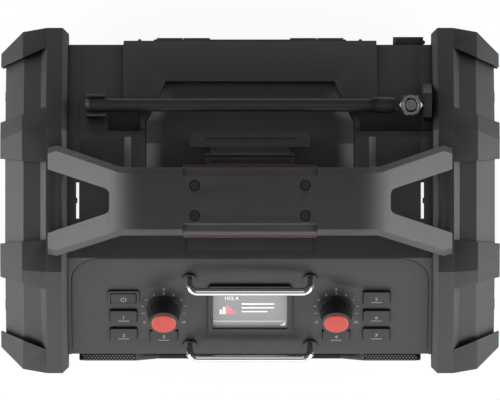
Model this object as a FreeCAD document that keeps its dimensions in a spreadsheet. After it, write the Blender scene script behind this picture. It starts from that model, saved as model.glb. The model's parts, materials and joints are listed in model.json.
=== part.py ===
import FreeCAD, Part
import Sketcher
import math
import os
import re

# A jobsite radio that stands on four rubber feet. Millimetres.
# Origin: centre of the floor footprint. +X towards the antenna pivot, +Y to the rear, +Z up.

Vector = FreeCAD.Vector
doc = FreeCAD.newDocument("JobsiteRadio")
sheet = doc.addObject("Spreadsheet::Sheet", "Sizes")

sizes = {
    # whole radio
    "halfWidth": 185.0,
    "halfDepth": 128.4,
    "handleTop": 280.0,
    # end guards: an octagonal loop seen from the side
    "loopTop": 213.0,
    "loopBottom": 3.0,
    "topCrease": 52.9,
    "bottomCrease": 88.4,
    "upperCorner": 137.5,
    "lowerCorner": 43.0,
    "bandDepth": 34.0,
    "padRelief": 3.7,
    "loopInner": 135.4,
    "seatInner": 139.3,
    "seatOuter": 151.0,
    # body
    "shellHalf": 126.4,
    "deckLevel": 209.0,
    "floorLevel": 12.0,
    "panelTopEdge": 42.5,
    "panelBottomEdge": 114.3,
    "rearFace": 115.8,
    "rearSlope": 254.4,
    "stepTop": 46.2,
    "stepBottom": 51.4,
    "wall": 4.0,
    "seam": -20.0,
    "recessDepth": 8.0,
    "recessLow": 11.3,
    "recessEnd": 87.5,
    "humpHalf": 88.0,
    "humpRise": 5.0,
    "trenchFloor": 184.0,
    "trenchInner": 81.0,
    "slitWidth": 2.4,
    "slitHalf": 13.5,
    # control panel, in its own sloping plane
    "panelHalf": 132.0,
    "panelReach": 50.0,
    "panelThick": 3.0,
    # controls
    "knobSpread": 63.9,
    "knobRise": -2.5,
    "knobRadius": 12.2,
    "knobHeight": 15.5,
    "knobShaft": 3.0,
    "runningGap": 0.06,
    "keyGap": 0.35,
    "keyTravel": 1.0,
    "barRadius": 2.9,
    "barSpread": 44.8,
    "barStandOff": 14.3,
    # handle
    "gripHalf": 49.6,
    "gripRear": 24.5,
    "gripFront": 25.7,
    "handleThick": 20.0,
    "armEnd": 149.5,
    "armEndLevel": 222.0,
    "armUnder": 8.3,
    "armFoot": 19.3,
    "armBend": 41.0,
    # battery cover
    "coverHalf": 94.0,
    "coverProud": 3.0,
    "coverHingeY": 119.2,
    "coverHingeZ": 31.0,
    "hingeRadius": 2.6,
    "coverSeam": 75.6,
    "hingePin": 1.5,
    # latch
    "latchHinge": 35.2,
    "latchFloor": 201.0,
    "latchLevel": 204.2,
    # rubber cap at the rear, and its barrel
    "socketHinge": 128.8,
    # antenna
    "rodRadius": 5.2,
    "rodY": 70.7,
    "rodZ": 196.5,
    "elbowX": 119.1,
    # speakers
    "grilleProud": 5.2,
    "driverSpread": 84.0,
    "driverRadius": 37.5,
    "driverLevel": 64.0,
}
for row, (alias, number) in enumerate(sizes.items(), start=1):
    sheet.set("A%d" % row, alias)
    sheet.set("B%d" % row, str(number))
    sheet.setAlias("B%d" % row, alias)
doc.recompute()


# Binding: every size is a text such as "halfWidth - 2", worked out by the sheet

def sheetText(text):
    def named(match):
        word = match.group(0)
        return "Sizes." + word if word in sizes else word
    return re.sub(r"[A-Za-z]\w*", named, str(text))


def amount(text):
    return float(sheet.evalExpression(sheetText(text)))


def bind(item, prop, text):
    item.setExpression(prop, sheetText(text))


def put(item, x="0", y="0", z="0"):
    for axis, text in zip("xyz", (x, y, z)):
        bind(item, "Placement.Base." + axis, text)
    return item


# Solids

def box(name, x, y, z):
    item = doc.addObject("Part::Box", name)
    for prop, (low, high) in zip(("Length", "Width", "Height"), (x, y, z)):
        bind(item, prop, "(%s) - (%s)" % (high, low))
    return put(item, x[0], y[0], z[0])


turns = {
    "X": FreeCAD.Rotation(Vector(0, 1, 0), 90),
    "Y": FreeCAD.Rotation(Vector(1, 0, 0), -90),
    "Z": FreeCAD.Rotation(),
}


def rod(name, axis, radius, length, x="0", y="0", z="0"):
    item = doc.addObject("Part::Cylinder", name)
    bind(item, "Radius", radius)
    bind(item, "Height", length)
    item.Placement = FreeCAD.Placement(Vector(), turns[axis])
    return put(item, x, y, z)


def cone(name, axis, radiusLow, radiusHigh, length, x="0", y="0", z="0"):
    item = doc.addObject("Part::Cone", name)
    bind(item, "Radius1", radiusLow)
    bind(item, "Radius2", radiusHigh)
    bind(item, "Height", length)
    item.Placement = FreeCAD.Placement(Vector(), turns[axis])
    return put(item, x, y, z)


planeTurns = {
    "XY": FreeCAD.Rotation(),
    "XZ": FreeCAD.Rotation(Vector(1, 0, 0), 90),
    "YZ": FreeCAD.Rotation(Vector(1, 1, 1), 120),
}
planeNormals = {"XY": Vector(0, 0, 1), "XZ": Vector(0, 1, 0), "YZ": Vector(1, 0, 0)}


def outline(name, plane, points, level="0"):
    # A closed polygon whose every corner is held by two bound distances from the sketch origin
    item = doc.addObject("Sketcher::SketchObject", name)
    item.Placement = FreeCAD.Placement(Vector(), planeTurns[plane])
    corners = [Vector(amount(a), amount(b), 0) for a, b in points]
    count = len(corners)
    for index in range(count):
        item.addGeometry(Part.LineSegment(corners[index], corners[(index + 1) % count]), False)
    for index in range(count):
        item.addConstraint(Sketcher.Constraint("Coincident", index, 2, (index + 1) % count, 1))
    for index, (a, b) in enumerate(points):
        for kind, text in (("DistanceX", a), ("DistanceY", b)):
            number = item.addConstraint(Sketcher.Constraint(kind, -1, 1, index, 1, amount(text)))
            bind(item, "Constraints[%d]" % number, text)
    axis = {"XY": "z", "XZ": "y", "YZ": "x"}[plane]
    bind(item, "Placement.Base." + axis, level)
    return item


def prism(name, plane, points, low, high):
    item = doc.addObject("Part::Extrusion", name)
    item.Base = outline(name + "Outline", plane, points, low)
    item.DirMode = "Custom"
    item.Dir = planeNormals[plane]
    item.Solid = True
    bind(item, "LengthFwd", "(%s) - (%s)" % (high, low))
    return item


def cut(name, base, *tools):
    for index, tool in enumerate(tools):
        item = doc.addObject("Part::Cut", name if index == len(tools) - 1 else name + "Cut%d" % index)
        item.Base = base
        item.Tool = tool
        base = item
    return base


def fuse(name, *items):
    item = doc.addObject("Part::MultiFuse", name)
    item.Shapes = list(items)
    item.Refine = True
    return item


def common(name, *items):
    item = doc.addObject("Part::MultiCommon", name)
    item.Shapes = list(items)
    return item


def group(name, *items):
    item = doc.addObject("Part::Compound", name)
    item.Links = list(items)
    return item


def edgesAlong(item, axis, where=lambda middle: True):
    doc.recompute()
    found = []
    for index, edge in enumerate(item.Shape.Edges, start=1):
        if len(edge.Vertexes) != 2 or edge.Curve.TypeId != "Part::GeomLine":
            continue
        run = edge.Vertexes[1].Point - edge.Vertexes[0].Point
        middle = (edge.Vertexes[1].Point + edge.Vertexes[0].Point) * 0.5
        if abs(abs(run.normalize().dot(axis)) - 1) < 1e-6 and where(middle):
            found.append(index)
    return found


def rounded(name, base, radius, axis=Vector(0, 0, 1), where=lambda middle: True, kind="Part::Fillet"):
    edges = edgesAlong(base, axis, where)
    item = doc.addObject(kind, name)
    item.Base = base
    item.Edges = [(index, amount(radius), amount(radius)) for index in edges]
    return item


# Sub-parts: the name of each is its node's name

nodes = []


def node(name, item):
    item.Label = name
    nodes.append(item)
    return item


panelTurn = FreeCAD.Rotation(Vector(1, 0, 0), 45)


def onPanel(item):
    # Moves a piece drawn flat, X across and Y uphill, on to the sloping panel
    if item.TypeId in ("Part::Box", "Part::Cylinder"):
        item = group(item.Name + "Placed", item)
    item.Placement = FreeCAD.Placement(Vector(), panelTurn)
    bind(item, "Placement.Base.y", "-(panelTopEdge + panelBottomEdge) / 2")
    bind(item, "Placement.Base.z", "deckLevel - (panelBottomEdge - panelTopEdge) / 2")
    return item


def sideName(side):
    return "left" if side < 0 else "right"


def octagon(depth):
    # Corners of the guard loop moved inwards by depth, in the YZ plane
    drift = "%s * tan(22.5)" % depth
    upper = [
        ("topCrease - " + drift, "loopTop - " + depth),
        ("halfDepth - " + depth, "upperCorner - " + drift),
        ("halfDepth - " + depth, "lowerCorner + " + drift),
        ("bottomCrease - " + drift, "loopBottom + " + depth),
    ]
    lower = [("-(%s)" % y, z) for y, z in reversed(upper)]
    return upper + lower


def loft(name, side, stations):
    item = doc.addObject("Part::Loft", name)
    item.Sections = [outline("%sRing%d" % (name, index), "YZ", octagon(depth), "%d * (%s)" % (side, x))
                     for index, (x, depth) in enumerate(stations)]
    item.Solid = True
    item.Ruled = True
    return item


def span(side, low, high):
    # An X interval mirrored to the given side, low end first
    if side > 0:
        return (low, high)
    return ("-(%s)" % high, "-(%s)" % low)


# Screws that hold a guard to its end plate, and bolts that come up into the handle arms
screwPlaces = [("102.4", "95"), ("-102.4", "95"), ("0", "loopTop - 26"), ("0", "loopBottom + 26")]


def buildGuardScrew(side):
    screws = []
    for index, (y, z) in enumerate(screwPlaces):
        shankLow, shankHigh = span(side, "loopInner - 6", "halfWidth - 8")
        headLow, headHigh = span(side, "halfWidth - 8", "halfWidth - 4.5")
        shank = rod("%sScrewShank%d" % (sideName(side), index), "X", "2", "(%s) - (%s)" % (shankHigh, shankLow),
                    shankLow, y, z)
        head = rod("%sScrewHead%d" % (sideName(side), index), "X", "4.2", "(%s) - (%s)" % (headHigh, headLow),
                   headLow, y, z)
        screws.append(fuse("%sScrew%d" % (sideName(side), index), shank, head))
    return screws


def buildHandleBolts():
    bolts = []
    for side in (-1, 1):
        for way in (-1, 1):
            tag = "%s%s" % (sideName(side), "Rear" if way > 0 else "Front")
            x = "%d * 144.6" % side
            y = "%d * 31" % way
            shank = rod(tag + "BoltShank", "Z", "2.5", "bandDepth + 11", x, y, "loopTop - bandDepth")
            head = rod(tag + "BoltHead", "Z", "5", "4", x, y, "loopTop - bandDepth - 4")
            bolts.append(fuse(tag + "Bolt", shank, head))
    return node("handle_bolts", group("handleBolts", *bolts))


def buildFeet():
    feet = []
    for side in (-1, 1):
        for way in (-1, 1):
            tag = "%s%s" % (sideName(side), "Rear" if way > 0 else "Front")
            y = ("56", "84") if way > 0 else ("-84", "-56")
            block = box(tag + "FootBlock", span(side, "seatInner + 0.8", "seatOuter - 0.8"), y, ("0", "7"))
            feet.append(rounded(tag + "Foot", block, "3"))
    return node("rubber_feet", group("rubberFeet", *feet))


# Each pad: the Y interval at its inner edge and at the outer side, and the Z interval that holds it
padZones = [
    ("RearCreasePad", (("28.5", "69"), ("31", "57")), ("170", "loopTop + 1")),
    ("FrontCreasePad", (("-65.5", "-29"), ("-56", "-32")), ("170", "loopTop + 1")),
    ("RearEdgePad", (("113", "halfDepth + 1"), ("98", "halfDepth + 1")), ("108", "172")),
    ("FrontEdgePad", (("-halfDepth - 1", "-110"), ("-halfDepth - 1", "-96")), ("108", "172")),
    ("RearHeelPad", (("106", "halfDepth + 1"), ("98", "halfDepth + 1")), ("22", "64")),
    ("FrontHeelPad", (("-halfDepth - 1", "-106"), ("-halfDepth - 1", "-98")), ("22", "64")),
    ("RearToePad", (("70", "98"), ("74", "92")), ("0", "21")),
    ("FrontToePad", (("-98", "-70"), ("-92", "-74")), ("0", "21")),
]


def buildGuard(side, screws, bolts, feet):
    tag = sideName(side)
    solid = loft(tag + "GuardSolid", side, [
        ("loopInner", "3.9"),
        ("seatInner", "0"),
        ("seatOuter", "0"),
        ("seatOuter + 4", "4.4"),
        ("seatOuter + 16.6", "6.6"),
        ("halfWidth - padRelief", "20.3"),
    ])
    eye = prism(tag + "GuardEye", "YZ", octagon("bandDepth"), *span(side, "loopInner - 1", "halfWidth + 1"))
    wells = []
    for index, (y, z) in enumerate(screwPlaces):
        low, high = span(side, "halfWidth - 8", "halfWidth + 2")
        wells.append(rod("%sWell%d" % (tag, index), "X", "4.8", "(%s) - (%s)" % (high, low), low, y, z))
    core = cut(tag + "Guard", solid, eye, group(tag + "Wells", *wells), screws, bolts, feet)
    node("%s_end_guard" % tag, core)

    raised = loft(tag + "PadSolid", side, [
        ("seatOuter", "0"),
        ("halfWidth - 16.3", "3.1"),
        ("halfWidth", "19.4"),
    ])
    zones = []
    for name, ends, levels in padZones:
        inner, outer = ends
        points = [
            ("%d * (seatOuter - 2)" % side, inner[0]),
            ("%d * (seatOuter + 2)" % side, inner[0]),
            ("%d * (halfWidth + 2)" % side, outer[0]),
            ("%d * (halfWidth + 2)" % side, outer[1]),
            ("%d * (seatOuter + 2)" % side, inner[1]),
            ("%d * (seatOuter - 2)" % side, inner[1]),
        ]
        zones.append(prism(tag + name, "XY", points, *levels))
    sleeve = cut(tag + "PadSleeve", raised, solid, eye)
    node("%s_guard_pads" % tag, common(tag + "Pads", sleeve, group(tag + "PadZones", *zones)))


bodySection = [
    ("-panelTopEdge", "deckLevel"),
    ("-panelBottomEdge", "deckLevel - (panelBottomEdge - panelTopEdge)"),
    ("-104.5", "floorLevel"),
    ("104", "floorLevel"),
    ("rearFace", "floorLevel + 12"),
    ("rearFace", "rearSlope - rearFace"),
    ("stepBottom", "rearSlope - stepBottom"),
    ("stepTop", "deckLevel"),
]
hollowSection = [
    ("-panelTopEdge + 1.2", "deckLevel - wall"),
    ("-panelBottomEdge + wall + 0.8", "deckLevel - (panelBottomEdge - panelTopEdge) - 1.8"),
    ("-104.5 + wall", "floorLevel + wall"),
    ("104 - 1.6", "floorLevel + wall"),
    ("rearFace - wall", "floorLevel + 12 + 1.6"),
    ("rearFace - wall", "rearSlope - rearFace - 1.7"),
    ("92", "137"),
    ("36", "deckLevel - recessDepth - 8"),
    ("10", "deckLevel - recessDepth - 8"),
    ("4", "deckLevel - wall"),
]


coverSection = [
    ("stepBottom + 1.2", "rearSlope + 0.3 - stepBottom - 1.2"),
    ("rearFace + 0.2", "rearSlope + 0.1 - rearFace"),
    ("rearFace + 0.2", "coverHingeZ + 3"),
    ("rearFace + coverProud", "coverHingeZ + 3"),
    ("rearFace + coverProud", "rearSlope + 1.2 - rearFace"),
    ("stepBottom + 3.4", "rearSlope + 4.3 - stepBottom - 3.4"),
]


def keyPlaces():
    # Name, centre across, centre uphill, width, height of each key on the panel
    return [
        ("power_key", "-93.8", "9.8", "18.8", "9.6"),
        ("left_middle_key", "-93.8", "-9.7", "19.6", "12.4"),
        ("left_lower_key", "-93.8", "-28.6", "19.6", "12.4"),
        ("left_knob_key", "-64.0", "-30.0", "20", "10.4"),
        ("right_knob_key", "64.0", "-30.0", "20", "10.4"),
        ("right_upper_key", "93.8", "9.8", "19.6", "12.8"),
        ("right_middle_key", "93.8", "-9.7", "19.6", "12.8"),
        ("right_lower_key", "93.8", "-28.6", "19.6", "12.4"),
    ]


def edgesOf(middle, size):
    return ("(%s) - (%s) / 2" % (middle, size), "(%s) + (%s) / 2" % (middle, size))


def grown(ends, extra):
    return ("(%s) - (%s)" % (ends[0], extra), "(%s) + (%s)" % (ends[1], extra))


barRows = {"upper": "29.7", "lower": "-40.2"}


def buildBar(name, rise):
    # A chrome bar with two legs into the panel, bent on a radius of two bar diameters
    item = doc.addObject("Part::Feature", name + "Bar")
    spread = amount("barSpread")
    high = amount("barStandOff")
    bend = 2.2 * amount("barRadius")
    y = amount(rise)
    low = -amount("panelThick")
    foot = Vector(-spread, y, low)
    shoulder = Vector(-spread, y, high - bend)
    crown = Vector(-spread + bend, y, high)
    leg = 1 - math.sqrt(0.5)
    knee = Vector(-spread + bend * leg, y, high - bend * leg)

    def across(point):
        return Vector(-point.x, point.y, point.z)
    path = Part.Wire([
        Part.LineSegment(foot, shoulder).toShape(),
        Part.Arc(shoulder, knee, crown).toShape(),
        Part.LineSegment(crown, across(crown)).toShape(),
        Part.Arc(across(crown), across(knee), across(shoulder)).toShape(),
        Part.LineSegment(across(shoulder), across(foot)).toShape(),
    ])
    section = Part.Wire([Part.Circle(foot, Vector(0, 0, 1), amount("barRadius")).toShape()])
    item.Shape = path.makePipeShell([section], True, True)
    onPanel(item)
    return node(name + "_guard_bar", item)


def buildPanel():
    blank = box("panelBlank", ("-panelHalf", "panelHalf"), ("-panelReach", "panelReach"), ("-panelThick", "0"))
    upper = rounded("panelUpper", blank, "22", where=lambda middle: middle.y > 0)
    body = rounded("panelBody", upper, "5", where=lambda middle: middle.y < 0)
    pocketBlank = box("pocketBlank", ("-panelHalf - 0.5", "panelHalf + 0.5"),
                      ("-panelReach - 12", "panelReach + 0.5"), ("-panelThick", "6"))
    pocket = rounded("pocketBody", pocketBlank, "22.5", where=lambda middle: middle.y > 0)
    pocket = onPanel(group("panelPocket", pocket))

    holes = []
    for name, x, y, width, height in keyPlaces():
        hole = box(name + "Hole", grown(edgesOf(x, width), "keyGap"), grown(edgesOf(y, height), "keyGap"),
                   ("-panelThick - 12", "1"))
        holes.append(hole)
        stem = box(name + "Stem", edgesOf(x, width), edgesOf(y, height), ("-panelThick", "1.7"))
        soft = rounded(name + "Soft", stem, "1.6")
        flange = box(name + "Flange", grown(edgesOf(x, width), "1.2"), grown(edgesOf(y, height), "1.2"),
                     ("-panelThick - 2.2", "-panelThick - 0.1"))
        plunger = rod(name + "Plunger", "Z", "1.6", "2.4", x, y, "-panelThick - 4.4")
        node(name, onPanel(fuse(name + "Key", soft, flange, plunger)))
    for side in (-1, 1):
        holes.append(rod("%sKnobHole" % sideName(side), "Z", "4", "12", "%d * knobSpread" % side, "knobRise", "-8"))
    for name, rise in barRows.items():
        for side in (-1, 1):
            holes.append(rod("%s%sBarHole" % (name, sideName(side)), "Z", "barRadius", "10",
                             "%d * barSpread" % side, rise, "-8"))
    holes.append(box("displayHole", ("-29", "29"), ("-24", "19.5"), ("-10", "1")))
    node("control_panel", onPanel(cut("panel", body, group("panelHoles", *holes))))
    return pocket


def buildPowerFrame():
    outer = rounded("powerOuter", box("powerOuterBox", edgesOf("-93.8", "23.4"), edgesOf("9.8", "14.2"),
                                      ("0", "1.3")), "2.4")
    inner = box("powerInner", grown(edgesOf("-93.8", "18.8"), "keyGap"), grown(edgesOf("9.8", "9.6"), "keyGap"),
                ("-1", "2"))
    node("power_key_frame", onPanel(cut("powerFrame", outer, inner)))


def buildKnob(side):
    tag = sideName(side)
    x = "%d * knobSpread" % side
    skirt = cone(tag + "Skirt", "Z", "knobRadius + 1.1", "knobRadius + 0.3", "2.6", x, "knobRise", "0.4")
    grip = cone(tag + "Grip", "Z", "knobRadius", "knobRadius - 0.9", "knobHeight - 3", x, "knobRise", "3")
    notches = []
    for index in range(18):
        angle = "%d * 20" % index
        notches.append(rod("%sNotch%d" % (tag, index), "Z", "0.9", "knobHeight",
                           "%s + (knobRadius + 0.3) * cos(%s)" % (x, angle),
                           "knobRise + (knobRadius + 0.3) * sin(%s)" % angle, "3.6"))
    bore = rod(tag + "KnobBore", "Z", "knobShaft", "knobHeight - 4", x, "knobRise", "0")
    seat = rod(tag + "CapSeat", "Z", "9.25", "3", x, "knobRise", "knobHeight - 1.2")
    item = cut(tag + "Knob", fuse(tag + "KnobSolid", skirt, grip), group(tag + "Notches", *notches), bore, seat)
    node(tag + "_knob", onPanel(item))
    disc = rod(tag + "Disc", "Z", "9.2", "1.6", x, "knobRise", "knobHeight - 1.2")
    crown = cone(tag + "Crown", "Z", "9.2", "8.2", "0.8", x, "knobRise", "knobHeight + 0.4")
    node(tag + "_knob_cap", onPanel(fuse(tag + "Cap", disc, crown)))
    shaft = rod(tag + "Shaft", "Z", "knobShaft", "knobHeight - 4 + 9", x, "knobRise", "-9")
    collet = rod(tag + "Collet", "Z", "3.9", "panelThick + 4.9", x, "knobRise", "-panelThick - 5")
    sleeve = rod(tag + "Sleeve", "Z", "knobShaft + runningGap", "40", x, "knobRise", "-20")
    case = rounded(tag + "EncoderCase", box(tag + "EncoderBox", edgesOf(x, "14"), edgesOf("knobRise", "14"),
                                            ("-panelThick - 10.4", "-panelThick - 4")), "1")
    node(tag + "_knob_shaft", onPanel(shaft))
    return cut(tag + "Encoder", fuse(tag + "EncoderSolid", collet, case), sleeve)


def buildDisplay():
    outer = rounded("bezelOuter", box("bezelBox", ("-31", "31"), ("-27.6", "23"), ("0", "2.4")), "3")
    window = box("bezelWindow", ("-27.6", "27.6"), ("-21.8", "17.4"), ("-5", "4"))
    lip = box("bezelLip", ("-28.6", "28.6"), ("-23.6", "19"), ("-panelThick", "0"))
    node("display_bezel", onPanel(cut("bezel", fuse("bezelSolid", outer, lip), window)))
    node("display_lens", onPanel(box("displayLens", ("-27.5", "27.5"), ("-21.7", "17.3"), ("-0.4", "1.1"))))
    node("display_module", onPanel(box("displayModule", ("-27.5", "27.5"), ("-21.7", "17.3"), ("-4.6", "-0.8"))))


def buildCollars():
    rings = []
    for name, rise in barRows.items():
        for side in (-1, 1):
            tag = "%s%s" % (name, sideName(side))
            x = "%d * barSpread" % side
            ring = rod(tag + "Ring", "Z", "barRadius + 2.2", "1.6", x, rise, "0")
            throat = rod(tag + "Throat", "Z", "barRadius", "6", x, rise, "-2")
            rings.append(cut(tag + "Collar", ring, throat))
    node("bar_collars", onPanel(group("barCollars", *rings)))


def handlePlan():
    # Outer plan of the bow tie: half of it, then its mirror
    right = [
        ("gripHalf", "gripRear"),
        ("81.4", "gripRear - 0.3"),
        ("96.2", "25"),
        ("143", "41"),
        ("armEnd", "39"),
        ("armEnd", "-39.5"),
        ("143", "-41"),
        ("94.4", "-25.7"),
        ("gripHalf", "-gripFront"),
    ]
    left = [("-(%s)" % x, y) for x, y in reversed(right)]
    return right + left


def handleSide():
    # Corners of the side view before the bends are rounded: two straight 45 degree arms and a level grip
    right = [
        ("armEnd - (handleTop - armEndLevel)", "handleTop"),
        ("armEnd", "armEndLevel"),
        ("armEnd", "loopTop"),
        ("armEnd - armFoot", "loopTop"),
        ("armEnd - (handleTop - armEndLevel) - armUnder", "handleTop - handleThick"),
    ]
    left = [("-(%s)" % x, z) for x, z in reversed(right)]
    return right + left


def buildHandle(bolts):
    plan = prism("handlePlan", "XY", handlePlan(), "loopTop - 5", "handleTop + 5")
    straight = prism("handleProfile", "XZ", handleSide(), "-60", "60")
    high = amount("handleTop")
    low = amount("handleTop - handleThick")
    bent = rounded("handleBend", straight, "armBend", axis=Vector(0, 1, 0),
                   where=lambda middle: middle.z > high - 1)
    profile = rounded("handleUnderBend", bent, "armBend - handleThick", axis=Vector(0, 1, 0),
                      where=lambda middle: abs(middle.z - low) < 1)
    eyes = []
    for side in (-1, 1):
        tag = sideName(side)
        points = [
            ("%d * (armEnd + 5)" % side, "25"),
            ("%d * 146.5" % side, "22.1"),
            ("%d * 103.6" % side, "8"),
            ("%d * 103.6" % side, "-8.8"),
            ("%d * 149.5" % side, "-24"),
            ("%d * (armEnd + 5)" % side, "-26"),
        ]
        sharp = prism(tag + "HandleEye", "XY", points, "loopTop - 6", "handleTop + 6")
        eyes.append(rounded(tag + "HandleEyeRound", sharp, "5", where=lambda middle: abs(middle.x) < 110))
    topRelief = box("gripTopRelief", ("-gripHalf", "gripHalf"), ("-40", "40"), ("handleTop - 8", "handleTop + 5"))
    lowRelief = box("gripLowRelief", ("-gripHalf", "gripHalf"), ("-40", "40"),
                    ("handleTop - 25", "handleTop - handleThick + 2"))
    rearRelief = box("gripRearRelief", ("-gripHalf", "gripHalf"), ("17", "40"), ("handleTop - 25", "handleTop + 5"))
    frontRelief = box("gripFrontRelief", ("-gripHalf", "gripHalf"), ("-40", "-17"),
                      ("handleTop - 25", "handleTop + 5"))
    screws = []
    for side in (-1, 1):
        for way in (-1, 1):
            tag = "grip%s%s" % (sideName(side), "Rear" if way > 0 else "Front")
            x = "%d * 40.7" % side
            y = "%d * 11.1" % way
            head = rod(tag + "Head", "Z", "3.75", "2.6", x, y, "handleTop - 3.2")
            shank = rod(tag + "Shank", "Z", "1.75", "13", x, y, "handleTop - 16.2")
            screws.append(fuse(tag, head, shank))
    screwSet = node("grip_screws", group("gripScrews", *screws))
    sinks = [rod("gripSink%d%d" % (side, way), "Z", "4.1", "6", "%d * 40.7" % side, "%d * 11.1" % way,
                 "handleTop - 3.2") for side in (-1, 1) for way in (-1, 1)]
    blank = common("handleBlank", plan, profile)
    node("handle_frame", cut("handleFrame", blank, group("handleEyes", *eyes), topRelief, lowRelief, rearRelief,
                             frontRelief, bolts, screwSet))
    gripSection = [
        ("gripRear", "handleTop - 13"),
        ("gripRear", "handleTop - 6"),
        ("18.5", "handleTop"),
        ("-16.9", "handleTop"),
        ("-17.8", "handleTop - 1.2"),
        ("-22.8", "handleTop - 2.2"),
        ("-gripFront", "handleTop - 5.6"),
        ("-gripFront", "handleTop - 13"),
    ]
    cavity = box("gripCavity", ("-gripHalf - 1", "gripHalf + 1"), ("-17", "17"),
                 ("handleTop - 30", "handleTop - 8"))
    cover = prism("gripCoverSolid", "YZ", gripSection, "-gripHalf + 0.15", "gripHalf - 0.15")
    node("grip_cover", cut("gripCover", cover, cavity, group("gripSinks", *sinks), screwSet))
    insertSection = [
        ("gripRear + 2", "handleTop - 15.4"),
        ("gripRear + 1.2", "handleTop - 13.2"),
        ("-gripFront - 0.8", "handleTop - 13.2"),
        ("-gripFront - 1.8", "handleTop - 15.4"),
        ("-gripFront - 0.2", "handleTop - 20"),
        ("-18", "handleTop - 24"),
        ("17", "handleTop - 24"),
        ("gripRear", "handleTop - 20"),
    ]
    insert = prism("gripInsertSolid", "YZ", insertSection, "-gripHalf + 0.4", "gripHalf - 0.4")
    hollow = box("insertCavity", ("-gripHalf - 1", "gripHalf + 1"), ("-17", "17"),
                  ("handleTop - handleThick + 2", "handleTop"))
    node("grip_insert", cut("gripInsert", insert, hollow))


def buildRearTools():
    # The recess that runs from under the handle down the rear slope, and the trenches beside it
    floor = prism("recessFloor", "YZ", [
        ("20", "deckLevel + 20"),
        ("20", "deckLevel - recessDepth"),
        ("rearSlope - recessLow - deckLevel + recessDepth", "deckLevel - recessDepth"),
        ("recessEnd - 7.5", "rearSlope - recessLow - recessEnd + 7.5"),
        ("recessEnd", "rearSlope - recessEnd"),
        ("recessEnd + 20", "deckLevel + 20"),
    ], "-100", "100")
    plan = prism("recessPlan", "XY", [
        ("-78", "10"),
        ("-78", "58"),
        ("-63", "recessEnd"),
        ("-63", "120"),
        ("63", "120"),
        ("63", "recessEnd"),
        ("78", "58"),
        ("78", "10"),
    ], "100", "260")
    recess = common("rearRecess", floor, plan)
    trenches = [
        box("leftTrench", ("-105", "-trenchInner"), ("stepBottom", "66"), ("trenchFloor", "240")),
        box("rightTrench", ("trenchInner", "loopInner + 1"), ("stepBottom", "66"), ("trenchFloor", "240")),
    ]
    return recess, group("rearTrenches", *trenches)


def buildPins():
    cover = rod("coverPin", "X", "hingePin", "144", "-72", "coverHingeY", "coverHingeZ")
    latch = rod("latchPin", "X", "1.25", "67.4", "-33.7", "latchHinge", "latchLevel")
    return node("hinge_pins", group("hingePins", cover, latch))


def buildBody(pocket, screws, pin, rearTools):
    outer = prism("bodyOuter", "YZ", bodySection, "-shellHalf", "shellHalf")
    inner = prism("bodyInner", "YZ", hollowSection, "-shellHalf + wall", "shellHalf - wall")
    hollow = cut("bodyHollow", outer, inner)
    frontZone = box("frontZone", ("-200", "200"), ("-200", "seam"), ("0", "300"))
    rearZone = box("rearZone", ("-200", "200"), ("seam", "200"), ("0", "300"))
    speakerHoles = []
    for side in (-1, 1):
        speakerHoles.append(rod("%sSpeakerHole" % sideName(side), "Y", "driverRadius - 3", "60", "%d * driverSpread" % side,
                                "-140", "driverLevel"))
    windowPocket = box("windowPocket", ("-46.8", "46.8"), ("-38", "-26"), ("deckLevel - 2.4", "deckLevel + 5"))
    panelWell = onPanel(box("panelWell", ("-108", "108"), ("-40", "22"), ("-30", "-panelThick + 0.1")))
    front = cut("frontShell", common("frontHalf", hollow, frontZone), group("speakerHoles", *speakerHoles),
                windowPocket, pocket, panelWell)
    node("front_shell", front)
    node("status_window", box("statusWindow", ("-46.6", "46.6"), ("-37.8", "-26.2"),
                              ("deckLevel - 2.4", "deckLevel + 0.6")))
    bay = box("batteryBay", ("-86", "86"), ("79", "140"), ("42", "190"))
    hump = prism("deckHump", "XZ", [
        ("-humpHalf - humpRise", "deckLevel"),
        ("-humpHalf", "deckLevel + humpRise"),
        ("humpHalf", "deckLevel + humpRise"),
        ("humpHalf + humpRise", "deckLevel"),
    ], "22", "stepTop + 1")
    strip = prism("coverStrip", "YZ", coverSection[:1] + [("coverSeam", "rearSlope - coverSeam")] + [
        ("coverSeam", "rearSlope + 4.3 - coverSeam")] + coverSection[-1:], "-coverHalf", "coverHalf")
    knuckles = []
    for index, (low, high) in enumerate((("-70", "-50.3"), ("50.3", "70"))):
        barrel = rod("shellBarrel%d" % index, "X", "hingeRadius", "(%s) - (%s)" % (high, low), low,
                     "coverHingeY", "coverHingeZ")
        lug = box("shellLug%d" % index, (low, high), ("rearFace - 1", "coverHingeY"),
                  ("coverHingeZ - hingeRadius", "coverHingeZ + 1.5"))
        knuckles += [barrel, lug]
    rear = fuse("rearSolid", common("rearHalf", hollow, rearZone), hump, strip, *knuckles)
    recess, trenches = rearTools
    node("rear_shell", cut("rearShell", rear, recess, trenches, bay, pin))
    for side in (-1, 1):
        tag = sideName(side)
        plate = prism(tag + "PlateSolid", "YZ", bodySection, *span(side, "shellHalf", "loopInner - 0.05"))
        slit = box(tag + "Slit", span(side, "shellHalf - 1", "shellHalf + slitWidth"),
                   ("-slitHalf", "slitHalf"), ("0", "300"))
        dish = box(tag + "Dish", span(side, "loopInner - 3", "loopInner + 1"), ("-80", "80"), ("45", "160"))
        node("%s_end_plate" % tag, cut(tag + "Plate", plate, slit, dish, pocket, trenches, screws))


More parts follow.
